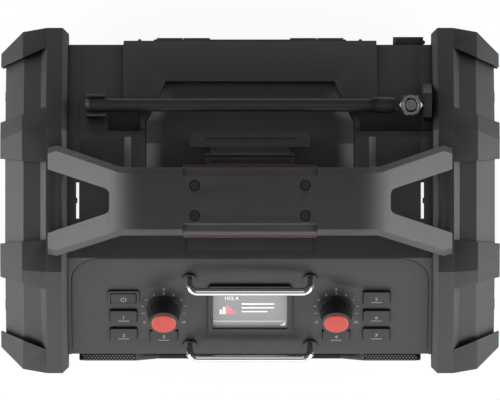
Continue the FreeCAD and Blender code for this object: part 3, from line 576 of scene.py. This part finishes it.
def gridRecipe():
    # The object's own mesh repeated on a grid in local XY; Corner cuts the grid's four corners off at 45 degrees
    recipe = Recipe("grid", {"Material": "Material", "Columns": "Int", "Rows": "Int", "Step X": "Float",
                             "Step Y": "Float", "Stagger": "Float", "Low Left": "Float", "Low Right": "Float",
                             "High Right": "Float", "High Left": "Float"})
    spanX = (recipe.given("Columns") - 1) * recipe.given("Step X")
    spanY = (recipe.given("Rows") - 1) * recipe.given("Step Y")
    grid = recipe.node("GeometryNodeMeshGrid", None, {"Size X": spanX, "Size Y": spanY,
                                                      "Vertices X": recipe.given("Columns"),
                                                      "Vertices Y": recipe.given("Rows")})
    place = recipe.node("GeometryNodeInputPosition")
    y = recipe.node("ShaderNodeSeparateXYZ", None, {0: place}, out=1)
    row = ((y + spanY / 2) / recipe.given("Step Y")).whole()
    shift = (row % 2 - 0.5) * recipe.given("Stagger")
    offset = recipe.node("ShaderNodeCombineXYZ", None, {0: shift})
    moved = recipe.node("GeometryNodeSetPosition", None, {"Geometry": grid, "Offset": offset})
    x = recipe.node("ShaderNodeSeparateXYZ", None, {0: recipe.node("GeometryNodeInputPosition")})
    y = recipe.node("ShaderNodeSeparateXYZ", None, {0: recipe.node("GeometryNodeInputPosition")}, out=1)
    beyond = (0 - x - y > recipe.given("Low Left")) + (x - y > recipe.given("Low Right"))
    beyond = beyond + (x + y > recipe.given("High Right")) + (y - x > recipe.given("High Left"))
    kept = recipe.node("GeometryNodeDeleteGeometry", {"domain": "POINT"}, {"Geometry": moved,
                                                                           "Selection": beyond > 0.5})
    recipe.finish(kept, recipe.given("Geometry"))
    return recipe


def stampRecipe():
    # The Stamp object's mesh on every vertex of the object's own mesh, turned by the vertex attribute "turn"
    recipe = Recipe("stamp", {"Material": "Material", "Stamp": "Object"})
    stamp = recipe.node("GeometryNodeObjectInfo", None, {"Object": recipe.given("Stamp")}, out="Geometry")
    turn = recipe.node("GeometryNodeInputNamedAttribute", {"data_type": "FLOAT_VECTOR"}, {"Name": "turn"})
    recipe.finish(recipe.given("Geometry"), stamp, turn)
    return recipe


grid = gridRecipe()
stamp = stampRecipe()
far = 10.0


def gridCopies(name, mesh, material, columns, rows, stepX, stepY, stagger=0.0, corners=(far, far, far, far)):
    values = {"Material": material, "Columns": columns, "Rows": rows, "Step X": stepX, "Step Y": stepY,
              "Stagger": stagger}
    values.update(zip(("Low Left", "Low Right", "High Right", "High Left"), corners))
    return grid.run(mesh, name, values)


def stampedCopies(name, mesh, material, places):
    # places: (point, turn) pairs, with the turn in degrees about X, Y and Z
    die = bpy.data.objects.new(name + "Die", mesh)
    scene.collection.objects.link(die)
    points = bpy.data.meshes.new(name + "Points")
    points.from_pydata([place for place, turn in places], [], [])
    turns = points.attributes.new("turn", "FLOAT_VECTOR", "POINT")
    for index, (place, turn) in enumerate(places):
        turns.data[index].vector = [math.radians(angle) for angle in turn]
    made = stamp.run(points, name, {"Material": material, "Stamp": die})
    bpy.data.objects.remove(die)
    return made


def inset(outline, depth):
    # Moves every edge of a convex counter-clockwise outline inwards
    lines = []
    for start, end in zip(outline, outline[1:] + outline[:1]):
        run, rise = end[0] - start[0], end[1] - start[1]
        length = math.hypot(run, rise)
        lines.append((-rise / length, run / length, (run * start[1] - rise * start[0]) / length + depth))
    made = []
    for (a, b, c), (d, e, f) in zip(lines[-1:] + lines[:-1], lines):
        made.append(((c * e - f * b) / (a * e - d * b), (a * f - d * c) / (a * e - d * b)))
    return made


def scaled(points, level):
    return [(x * mm, y * mm, level * mm) for x, y in points]


# The front face leans back: local X across, local Y up, local Z out of the face
front = {"foot": -104.7, "footLevel": 14, "lean": 9.6 / 118}
frontStart = (front["foot"] + front["lean"] * front["footLevel"]) * mm
frontPlace = Matrix(((1, 0, 0, 0), (0, -front["lean"], -1, frontStart), (0, 1, 0, 0), (0, 0, 0, 1)))

grilles = {
    "outline": [(60, 18), (114, 18), (127, 31), (127, 124), (123, 128), (85, 128), (43, 86), (43, 35)],
    "proud": 5.2,
    "lip": 2.6,
    "lipSoft": 0.6,
    "sheetSunk": 1.0,
    "sheetThick": 0.8,
    "overlap": 0.2,
    "lipDepth": 1,
    "pitch": 2.4,
    "hole": 0.86,
}


def perforation(pitch, hole, thick):
    # One cell of the sheet: a hexagon with a round hole, closed along the hole's wall
    build = bmesh.new()
    rim, top, low = [], [], []
    sides = 12
    for index in range(sides):
        angle = math.tau * index / sides
        reach = pitch / 2 if index % 2 == 0 else pitch / math.sqrt(3)
        across, along = math.cos(angle), math.sin(angle)
        rim.append(build.verts.new((reach * across, reach * along, 0)))
        top.append(build.verts.new((hole * across, hole * along, 0)))
        low.append(build.verts.new((hole * across, hole * along, -thick)))
    for index in range(sides):
        after = (index + 1) % sides
        build.faces.new((top[index], rim[index], rim[after], top[after]))
        build.faces.new((low[index], top[index], top[after], low[after]))
    return meshFrom(build, "perforation")


def addGrille(side, tag):
    outline = grilles["outline"]
    proud, soft, lip = grilles["proud"], grilles["lipSoft"], grilles["lip"]
    sunk = proud - grilles["sheetSunk"]
    rows = [(0, -grilles["overlap"]), (0, proud - soft), (soft, proud), (lip - soft, proud), (lip, proud - soft),
            (lip, sunk - grilles["lipDepth"])]
    loops = [scaled([(side * x, z) for x, z in inset(outline, depth)], level) for depth, level in rows]
    ring = loopsMesh(tag + "GrilleLip", loops, frontPlace, ring=True)
    pitch = grilles["pitch"] * mm
    step = pitch * math.sqrt(3) / 2
    low = [min(point[axis] for point in outline) * mm for axis in (0, 1)]
    high = [max(point[axis] for point in outline) * mm for axis in (0, 1)]
    centre = [(a + b) / 2 for a, b in zip(low, high)]
    room = pitch / math.sqrt(3)
    columns = int((high[0] - low[0] - 2 * room) / pitch)
    count = int((high[1] - low[1] - 2 * room) / step) + 1
    # How far each 45 degree corner lies from the centre, less the room for one cell
    cuts = [(math.copysign(1, a) * (x * mm - centre[0]) + math.copysign(1, b) * (z * mm - centre[1]))
            - room * math.sqrt(2) for a, b, (x, z) in
            ((-1, -1, outline[0]), (1, -1, outline[1]), (1, 1, outline[3]), (-1, 1, outline[5]))]
    if side < 0:
        cuts = [cuts[1], cuts[0], cuts[3], cuts[2]]
    cell = perforation(pitch, grilles["hole"] * mm, grilles["sheetThick"] * mm)
    sheet = gridCopies(tag + "Sheet", cell, finish["deepBlack"], columns, count, pitch, step, pitch / 2, cuts)
    sheet.transform(frontPlace @ Matrix.Translation((side * centre[0], centre[1], sunk * mm)))
    whole = joined(tag + "_grille_sheet", [ring, sheet])
    addPiece(whole, tag + "_grille_sheet", finish["deepBlack"], "radio", [tag + "_speaker_grille"])


for side, tag in ((-1, "left"), (1, "right")):
    addGrille(side, tag)

# The pale ends of the sheet's strands, in staggered rows on top of each grille
teeth = {"size": (1.3, 0.8, 0.5), "columns": 16, "rows": 3, "step": 2.4, "rowStep": 1.5,
         "middle": (105, -117.0, 127.8)}
wide, deep, tall = (value * mm for value in teeth["size"])
for side, tag in ((-1, "left"), (1, "right")):
    tooth = block("tooth", (-wide / 2, -deep / 2, 0), (wide / 2, deep / 2, tall))
    made = gridCopies(tag + "_grille_teeth", tooth, finish["expanded"], teeth["columns"], teeth["rows"],
                      teeth["step"] * mm, teeth["rowStep"] * mm, teeth["step"] / 2 * mm)
    across, back, level = teeth["middle"]
    made.transform(Matrix.Translation((side * across * mm, back * mm, level * mm)))
    addPiece(made, tag + "_grille_teeth", finish["expanded"], "radio")
print("grilles made")


# Speaker cones behind the grilles

cones = {
    "spread": 84,
    "level": 64,
    "front": -95.0,
    "profile": [(0.05, 2.4), (6, 2.0), (10, 0.4), (11, -1.6), (31, 0.6), (31.8, 1.6), (33.2, 2.4), (34.8, 1.8),
                (35.6, 0.4), (35.6, -1.6), (0.05, -3.4)],
    "sides": 48,
}
profile = [(radius * mm, level * mm) for radius, level in cones["profile"]]
pair = []
for side in (-1, 1):
    place = Matrix.Translation((side * cones["spread"] * mm, cones["front"] * mm, cones["level"] * mm))
    pair.append(turned("cone", profile, cones["sides"], place @ Matrix.Rotation(math.radians(90), 4, "X")))
coneMesh = joined("speaker_cones", pair)
smoothByAngle(coneMesh, 35)
addPiece(coneMesh, "speaker_cones", finish["deepBlack"], "radio")


# Screws: shank, head with softened rim, and a six-sided recess


def hexagonLoop(radius, level, sides):
    made = []
    for index in range(sides):
        angle = math.tau * index / sides
        reach = radius * math.cos(math.pi / 6) / math.cos((angle % (math.pi / 3)) - math.pi / 6)
        made.append((reach * math.cos(angle), reach * math.sin(angle), level))
    return made


def screwMesh(name, shank, length, head, height, recess, sides=24):
    loops = [circle(shank, -length, sides), circle(shank, 0, sides), circle(head, 0, sides),
             circle(head, height - head * 0.1, sides), circle(head * 0.9, height, sides),
             hexagonLoop(recess, height, sides), hexagonLoop(recess * 0.92, height * 0.35, sides)]
    return loopsMesh(name, loops)


screwSizes = ("shank", "length", "head", "height", "recess")


def addScrews(name, values, places, replaced=()):
    screw = screwMesh(name + "Screw", *(values[key] * mm for key in screwSizes))
    made = stampedCopies(name, screw, finish["darkSteel"], places)
    smoothByAngle(made, 35)
    addPiece(made, name, finish["darkSteel"], "radio", replaced)


gripScrews = {"x": 40.7, "y": 11.1, "level": 276.8, "turn": 15, "shank": 1.75, "length": 13, "head": 3.75,
              "height": 2.6, "recess": 2.3}
places = [((across * gripScrews["x"] * mm, back * gripScrews["y"] * mm, gripScrews["level"] * mm),
           (0, 0, gripScrews["turn"])) for across in (-1, 1) for back in (-1, 1)]
addScrews("grip_screw_set", gripScrews, places, ["grip_screws"])

guardScrews = {"x": 177, "shank": 2, "length": 47.6, "head": 4.2, "height": 3.5, "recess": 2.2,
               "places": [(102.4, 95), (-102.4, 95), (0, 187), (0, 29)]}
places = [((side * guardScrews["x"] * mm, y * mm, z * mm), (0, side * 90, 0))
          for side in (-1, 1) for y, z in guardScrews["places"]]
addScrews("guard_screw_set", guardScrews, places, ["guard_screws"])

baseScrews = {"level": 12, "shank": 1.5, "length": 1, "head": 3.6, "height": 1.1, "recess": 1.8,
              "places": [(-112, 92), (112, 92), (-112, -92), (112, -92), (0, 92), (0, -92)]}
places = [((x * mm, y * mm, baseScrews["level"] * mm), (180, 0, 0)) for x, y in baseScrews["places"]]
addScrews("base_screws", baseScrews, places)
print("screws made")


# Antenna: hexagon nut with the bolt's end in it, rings at the collar, and the pins of the clip

elbow = {"x": 119.1, "y": 70.7, "z": 196.5, "nut": 8.6, "nutLow": 7.1, "nutHigh": 10.3, "nutEdge": 0.5,
         "nutFace": 0.86, "bore": 5.0, "headLevel": 7.2, "sides": 24}
elbowBolt = {"shank": 2.0, "length": 14.4, "head": 4.4, "height": 2.4, "recess": 2.3}
sides = elbow["sides"]
nut = loopsMesh("nut", [
    circle(elbow["bore"] * mm, elbow["nutLow"] * mm, sides),
    hexagonLoop(elbow["nut"] * mm, elbow["nutLow"] * mm, sides),
    hexagonLoop(elbow["nut"] * mm, (elbow["nutHigh"] - elbow["nutEdge"]) * mm, sides),
    circle(elbow["nut"] * elbow["nutFace"] * mm, elbow["nutHigh"] * mm, sides),
    circle((elbow["bore"] + elbow["nutEdge"]) * mm, elbow["nutHigh"] * mm, sides),
    circle(elbow["bore"] * mm, (elbow["nutHigh"] - elbow["nutEdge"]) * mm, sides),
], ring=True)
bolt = screwMesh("bolt", *(elbowBolt[key] * mm for key in screwSizes))
bolt.transform(Matrix.Translation((0, 0, elbow["headLevel"] * mm)))
elbowPlace = Matrix.Translation([elbow[axis] * mm for axis in "xyz"])
made = joined("antenna_nut", [nut, bolt])
made.transform(elbowPlace)
smoothByAngle(made, 30)
addPiece(made, "antenna_nut", finish["edgeSteel"], "antenna_swivel", ["antenna_bolt"])

rings = {"places": (89.6, 91.8, 94.0), "radius": 6.25, "bore": 5.4, "width": 1.1, "edge": 0.2, "sides": 32}
ringRows = [("bore", 0), ("radius", rings["edge"]), ("radius", rings["width"] - rings["edge"]),
            ("bore", rings["width"])]
ring = loopsMesh("mastRing", [circle(rings[key] * mm, level * mm, rings["sides"]) for key, level in ringRows],
                 ring=True)
places = [((x * mm, elbow["y"] * mm, elbow["z"] * mm), (0, 90, 0)) for x in rings["places"]]
made = stampedCopies("mast_rings", ring, finish["deepBlack"], places)
smoothByAngle(made, 50)
addPiece(made, "mast_rings", finish["deepBlack"], "antenna_mast")

clipPins = {"low": -121.6, "high": -106.4, "spread": 7.5, "level": 199.5, "radius": 0.95, "tip": 0.3, "edge": 0.4}
pinLong = clipPins["high"] - clipPins["low"]
pinRows = [("tip", 0), ("radius", clipPins["edge"]), ("radius", pinLong - clipPins["edge"]), ("tip", pinLong)]
pin = turned("clipPin", [(clipPins[key] * mm, level * mm) for key, level in pinRows], 16)
places = [((clipPins["low"] * mm, (elbow["y"] + side * clipPins["spread"]) * mm, clipPins["level"] * mm), (0, 90, 0))
          for side in (-1, 1)]
made = stampedCopies("clip_pins", pin, finish["edgeSteel"], places)
smoothByAngle(made, 50)
addPiece(made, "clip_pins", finish["edgeSteel"], "radio")


# Marks on keys and panel: bare numbers, a power sign, and a scale round each knob

keyMarks = {
    "left_middle_key": (-93.8, -9.7, "1"),
    "left_lower_key": (-93.8, -28.6, "2"),
    "left_knob_key": (-64.0, -30.0, "3"),
    "right_knob_key": (64.0, -30.0, "4"),
    "right_upper_key": (93.8, 9.8, "5"),
    "right_middle_key": (93.8, -9.7, "6"),
    "right_lower_key": (93.8, -28.6, "7"),
}
markStyle = {"level": 1.74, "thick": 0.04, "size": 4.6, "drop": 0.8, "bar": 8.0, "barDrop": 4.4, "barHigh": 0.55}
for key, (x, rise, words) in keyMarks.items():
    place = onPanel(x, rise - markStyle["drop"], markStyle["level"])
    digit = lettering(key + "Digit", words, markStyle["size"] * mm, place)
    half = markStyle["bar"] / 2 * mm
    bar = block(key + "Bar", (-half, 0, 0), (half, markStyle["barHigh"] * mm, markStyle["thick"] * mm),
                onPanel(x, rise - markStyle["barDrop"], markStyle["level"]))
    addPiece(joined(key + "_mark", [digit, bar]), key + "_mark", finish["mark"], key)


def arcBand(name, radius, width, first, last, place, thick, steps=24):
    inner, outer = radius - width / 2, radius + width / 2
    section = [(inner, 0), (outer, 0), (outer, thick), (inner, thick)]
    loops = []
    for index in range(steps + 1):
        angle = math.radians(first + (last - first) * index / steps)
        loops.append([(reach * mm * math.sin(angle), reach * mm * math.cos(angle), level * mm)
                      for reach, level in section])
    return loopsMesh(name, loops, place)


powerSign = {"x": -93.8, "rise": 8.6, "radius": 1.9, "width": 0.55, "gap": 38, "stemHalf": 0.28, "stemLow": 0.3,
             "stemHigh": 2.6}
place = onPanel(powerSign["x"], powerSign["rise"], markStyle["level"])
arc = arcBand("powerArc", powerSign["radius"], powerSign["width"], powerSign["gap"], 360 - powerSign["gap"], place,
              markStyle["thick"])
stem = block("powerStem", (-powerSign["stemHalf"] * mm, powerSign["stemLow"] * mm, 0),
             (powerSign["stemHalf"] * mm, powerSign["stemHigh"] * mm, markStyle["thick"] * mm), place)
addPiece(joined("power_key_mark", [arc, stem]), "power_key_mark", finish["mark"], "power_key")

scales = {"spread": 63.9, "rise": -2.5, "radius": 16.0, "ticks": 11, "sweep": 270, "long": 2.0, "wide": 0.55,
          "level": 0.02, "thick": 0.05, "figures": {"0": -135, "5": 0, "10": 135}, "figureRadius": 20.4,
          "figureSize": 3.6}
tick = block("tick", (-scales["wide"] / 2 * mm, -scales["long"] / 2 * mm, 0),
             (scales["wide"] / 2 * mm, scales["long"] / 2 * mm, scales["thick"] * mm))


def onScale(side, radius, turn):
    angle = math.radians(turn)
    return side * scales["spread"] + radius * math.sin(angle), scales["rise"] + radius * math.cos(angle)


places = []
figures = []
for side in (-1, 1):
    for index in range(scales["ticks"]):
        turn = -scales["sweep"] / 2 + scales["sweep"] * index / (scales["ticks"] - 1)
        x, rise = onScale(side, scales["radius"], turn)
        places.append(((x * mm, rise * mm, scales["level"] * mm), (0, 0, -turn)))
    for words, turn in scales["figures"].items():
        place = onPanel(*onScale(side, scales["figureRadius"], turn), scales["thick"])
        figures.append(lettering("figure", words, scales["figureSize"] * mm, place))
ticks = stampedCopies("ticks", tick, finish["mark"], places)
ticks.transform(panelPlace)
addPiece(joined("knob_scales", [ticks] + figures), "knob_scales", finish["mark"], "radio")
print("marks made")


# Screen: a number, bars in place of lines of text, a level meter, a rule and a wedge

screen = {
    "level": -0.74,
    "thick": 0.05,
    "number": "102.4",
    "numberAt": (-14, 7.4),
    "numberSize": 5,
    "lines": [(-6.1, 1, 24), (-6.1, -3, 24), (-6.1, -7, 19)],
    "lineHigh": 1.3,
    "rule": (-27, 26.5, -16.6, 0.35),
    "wedge": (22, 26.2, -21, -17.6),
    "meterAt": -22.5,
    "meterLow": -9,
    "meterStep": 2.4,
    "meterWide": 1.9,
    "white": (4.6, 7.4),
    "red": (9, 6.2, 3.4),
}
screenPlace = onPanel(0, 0, screen["level"])


def onScreen(name, low, high):
    return block(name, (low[0] * mm, low[1] * mm, 0), (high[0] * mm, high[1] * mm, screen["thick"] * mm), screenPlace)


whites = [lettering("number", screen["number"], screen["numberSize"] * mm,
                    onPanel(*screen["numberAt"], screen["level"]))]
for x, rise, wide in screen["lines"]:
    whites.append(onScreen("line", (x, rise), (x + wide, rise + screen["lineHigh"])))
low, high, rise, thick = screen["rule"]
whites.append(onScreen("rule", (low, rise), (high, rise + thick)))
low, high, bottom, top = screen["wedge"]
corners = [(low, bottom), (high, bottom), (high, top)]
whites.append(loopsMesh("wedge", [scaled(corners, level) for level in (screen["thick"], 0)], screenPlace))
reds = []
for index, tall in enumerate(screen["white"] + screen["red"]):
    x = screen["meterAt"] + index * screen["meterStep"]
    bar = onScreen("meter", (x, screen["meterLow"]), (x + screen["meterWide"], screen["meterLow"] + tall))
    (whites if index < len(screen["white"]) else reds).append(bar)
addPiece(joined("screen_text", whites), "screen_text", finish["screenWhite"], "radio")
addPiece(joined("screen_meter", reds), "screen_meter", finish["screenRed"], "radio")
print("screen drawn")


# Rear recess: a lining with concave sides and a floor that runs out on the battery cover

lining = {"wide": 15, "wallTop": 1.5, "tall": 7.6, "bend": 1.6, "steps": 8, "sink": 0.3, "thick": 0.1,
          "shell": [(21, 201.0), (42.1, 201.0), (80, 163.1), (87.5, 166.9)],
          "floor": [(21, 201.0), (42.1, 201.0), (60, 183.1), (87.4, 166.8)],
          "wallEnd": 58, "wall": 78, "narrow": 63, "last": 87.5, "fade": 16,
          "stations": (30, 38, 42.1, 46, 50, 54, 58, 60, 63, 66, 70, 78, 80, 82, 84, 86),
          "radio": (21, 75.5), "battery_cover": (75.95, 87.3)}


def along(points, y):
    for (y0, z0), (y1, z1) in zip(points, points[1:]):
        if y <= y1:
            break
    return z0 + (z1 - z0) * (y - y0) / (y1 - y0)


def wallReach(y):
    past = max(0.0, y - lining["wallEnd"]) / (lining["last"] - lining["wallEnd"])
    return lining["wall"] + (lining["narrow"] - lining["wall"]) * past


def liningLoop(y):
    reach = wallReach(y)
    level = along(lining["floor"], y) + lining["thick"]
    fade = min(1.0, (lining["last"] - y) / lining["fade"])
    half = [(reach + lining["sink"], along(lining["shell"], y) - lining["sink"]),
            (reach + lining["sink"], level + lining["tall"] * fade)]
    for index in range(lining["steps"] + 1):
        share = index / lining["steps"]
        half.append((reach - lining["wallTop"] - (lining["wide"] - lining["wallTop"]) * share,
                     level + lining["tall"] * fade * (1 - share) ** lining["bend"]))
    return [(x * mm, y * mm, z * mm) for x, z in half + [(-x, z) for x, z in reversed(half)]]


for body in ("radio", "battery_cover"):
    low, high = lining[body]
    between = [y for y in lining["stations"] if low < y < high]
    made = loopsMesh(body + "_recess", [liningLoop(y) for y in [low, *between, high]])
    smoothByAngle(made, 30)
    addPiece(made, body + "_recess", finish["charcoal"], body)
print("recess lined")


# Ribs that stiffen or vent the unseen faces: rear, underside, end plates and front centre


ribShape = {"overlap": 0.2, "shoulder": 0.45, "crown": 0.9, "crownWide": 0.62, "slope": 0.8, "endHigh": 0.2}


def ribMesh(name, long, wide, high):
    # Lies along local X, rounded over the top and sloped at both ends
    half, side, low = long / 2, wide / 2, -ribShape["overlap"]
    shoulder, crown, narrow = high * ribShape["shoulder"], high * ribShape["crown"], side * ribShape["crownWide"]
    section = [(-side, low), (side, low), (side, shoulder), (narrow, crown), (0, high), (-narrow, crown),
               (-side, shoulder)]
    full = half - ribShape["slope"]
    ends = [(-half, ribShape["endHigh"]), (-full, 1.0), (full, 1.0), (half, ribShape["endHigh"])]
    return loopsMesh(name, [[(x * mm, y * mm, (z * share if z > 0 else z) * mm) for y, z in section]
                            for x, share in ends])


def addRibs(name, body, size, columns, rows, steps, place):
    made = gridCopies(name, ribMesh(name, *size), finish["charcoal"], columns, rows, steps[0] * mm, steps[1] * mm)
    made.transform(place)
    smoothByAngle(made, 40)
    addPiece(made, name, finish["charcoal"], body)


ribFields = {
    # body, rib (long, wide, high), columns, rows, steps, origin, then the field's turn about X and about Z
    "rear_vents": ("radio", (22, 2.2, 1.4), 2, 9, (222, 5.4), (0, 115.8, 66), (-90, 180)),
    "cover_ribs": ("battery_cover", (120, 2.4, 1.2), 1, 7, (1, 7), (0, 118.8, 84), (-90, 180)),
    "base_ribs": ("radio", (200, 2.4, 2.0), 1, 9, (1, 18), (0, 0, 12), (180, 0)),
    "left_end_ribs": ("radio", (136, 2.6, 1.6), 1, 9, (1, 11), (-132.4, 0, 102.5), (90, -90)),
    "right_end_ribs": ("radio", (136, 2.6, 1.6), 1, 9, (1, 11), (132.4, 0, 102.5), (90, 90)),
}
for name, (body, size, columns, rows, steps, origin, (tilt, yaw)) in ribFields.items():
    turn = Matrix.Rotation(math.radians(yaw), 4, "Z") @ Matrix.Rotation(math.radians(tilt), 4, "X")
    addRibs(name, body, size, columns, rows, steps, Matrix.Translation([value * mm for value in origin]) @ turn)

frontRibs = {"size": (56, 2.4, 1.2), "rows": 7, "step": 7.2, "level": 58, "proud": 3.8}
place = frontPlace @ Matrix.Translation((0, frontRibs["level"] * mm, frontRibs["proud"] * mm))
addRibs("front_ribs", "radio", frontRibs["size"], 1, frontRibs["rows"], (1000, frontRibs["step"]), place)

bumps = {"spread": 82, "y": 118.6, "level": 135.8, "radius": 1.5}
dome = [(0.02, 1.0), (0.5, 0.87), (0.87, 0.5), (1.0, 0.0), (0.9, -0.6)]
knob = turned("bump", [(radius * bumps["radius"] * mm, level * bumps["radius"] * mm) for radius, level in dome], 16)
places = [((side * bumps["spread"] * mm, bumps["y"] * mm, bumps["level"] * mm), (-90, 0, 0)) for side in (-1, 1)]
made = stampedCopies("cover_bumps", knob, finish["charcoal"], places)
smoothByAngle(made, 40)
addPiece(made, "cover_bumps", finish["charcoal"], "battery_cover")
print("ribs and bumps made")


# Camera, floor and light

view = {
    "pixelSize": 0.00074,
    "pictureWidth": 500,
    "lens": 1300,
    "sensor": 36,
    "focusLevel": 0.2,
    "midRow": 0.5,
}
cameraData = bpy.data.cameras.new("camera")
cameraData.lens = view["lens"]
cameraData.sensor_width = view["sensor"]
camera = bpy.data.objects.new("camera", cameraData)
scene.collection.objects.link(camera)
reach = view["pictureWidth"] * view["pixelSize"] * view["lens"] / view["sensor"]
camera.location = (0, view["midRow"] * view["pixelSize"], view["focusLevel"] + reach)
cameraData.clip_end = reach * 3
scene.camera = camera

aimPoint = Vector((0, 0, 0.15))
lamps = {
    # place, size, power
    "leftBox": ((-1.4, 0.0, 0.45), (1.8, 0.9), 24),
    "rightBox": ((1.4, 0.0, 0.45), (1.8, 0.9), 24),
    "frontBox": ((0.0, -1.5, 0.45), (1.4, 0.8), 7.5),
    "frontLeftBox": ((-1.2, -1.1, 0.35), (0.8, 0.8), 11),
    "frontRightBox": ((1.2, -1.1, 0.35), (0.8, 0.8), 11),
    "rearLeftBox": ((-1.2, 1.1, 0.5), (0.8, 0.8), 1),
    "rearRightBox": ((1.2, 1.1, 0.5), (0.8, 0.8), 1),
    "topBox": ((0.0, 0.1, 2.2), (1.0, 1.0), 2),
    "stripBox": ((0.0, -0.45, 1.5), (1.6, 0.1), 0.8),
}


def addLamp(name, place, size, power):
    data = bpy.data.lights.new(name, "AREA")
    data.shape = "RECTANGLE"
    data.size, data.size_y = size
    data.energy = power
    item = bpy.data.objects.new(name, data)
    item.location = place
    aim = aimPoint - Vector(place)
    item.rotation_euler = aim.to_track_quat("-Z", "Y").to_euler()
    item.visible_camera = False
    scene.collection.objects.link(item)


for name, (place, size, power) in lamps.items():
    addLamp(name, place, size, power)

# The world is white where the camera looks at it, and dim as a light
surround = {"light": 0.13, "seen": 1.0}
world = bpy.data.worlds.new("studio")
scene.world = world
world.use_nodes = True
sky = Graph(world.node_tree)
cameraRay = sky.node("ShaderNodeLightPath", out="Is Camera Ray")
clearRay = sky.node("ShaderNodeLightPath", out="Is Transmission Ray")
seen = sky.node("ShaderNodeMath", {"operation": "MAXIMUM"}, {0: cameraRay, 1: clearRay})
dim = sky.node("ShaderNodeBackground", None, {"Color": grey(1), "Strength": surround["light"]})
bright = sky.node("ShaderNodeBackground", None, {"Color": grey(1), "Strength": surround["seen"]})
choice = sky.node("ShaderNodeMixShader", None, {0: seen, 1: dim, 2: bright})
sky.node("ShaderNodeOutputWorld", None, {"Surface": choice}, out=None)

ground = {"half": 12, "dark": 0.90, "light": 0.94, "roughness": 0.7, "glow": 1.07, "glowShare": 0.84}
floorMesh = bpy.data.meshes.new("floor")
half = ground["half"]
floorMesh.from_pydata([(-half, -half, 0), (half, -half, 0), (half, half, 0), (-half, half, 0)], [], [(0, 1, 2, 3)])
floor = bpy.data.objects.new("floor", floorMesh)
scene.collection.objects.link(floor)
floorShader = Shader("paleFloor")
dust = floorShader.noise(3, 4)
lit = floorShader.node("ShaderNodeBsdfPrincipled", None, {
    "Base Color": floorShader.mix(dust, grey(ground["dark"]), grey(ground["light"])),
    "Roughness": ground["roughness"]})
# Seen straight on, the floor is mostly its own white, and keeps a trace of the radio's shadow
glow = floorShader.node("ShaderNodeEmission", None, {"Color": grey(1), "Strength": ground["glow"]})
direct = floorShader.node("ShaderNodeLightPath", out="Is Camera Ray")
share = floorShader.node("ShaderNodeMixShader", None, {0: direct * ground["glowShare"], 1: lit, 2: glow})
floorShader.tree.links.new(share.socket, floorShader.output.inputs["Surface"])
floorMesh.materials.append(floorShader.material)
print("camera, floor and lamps placed")
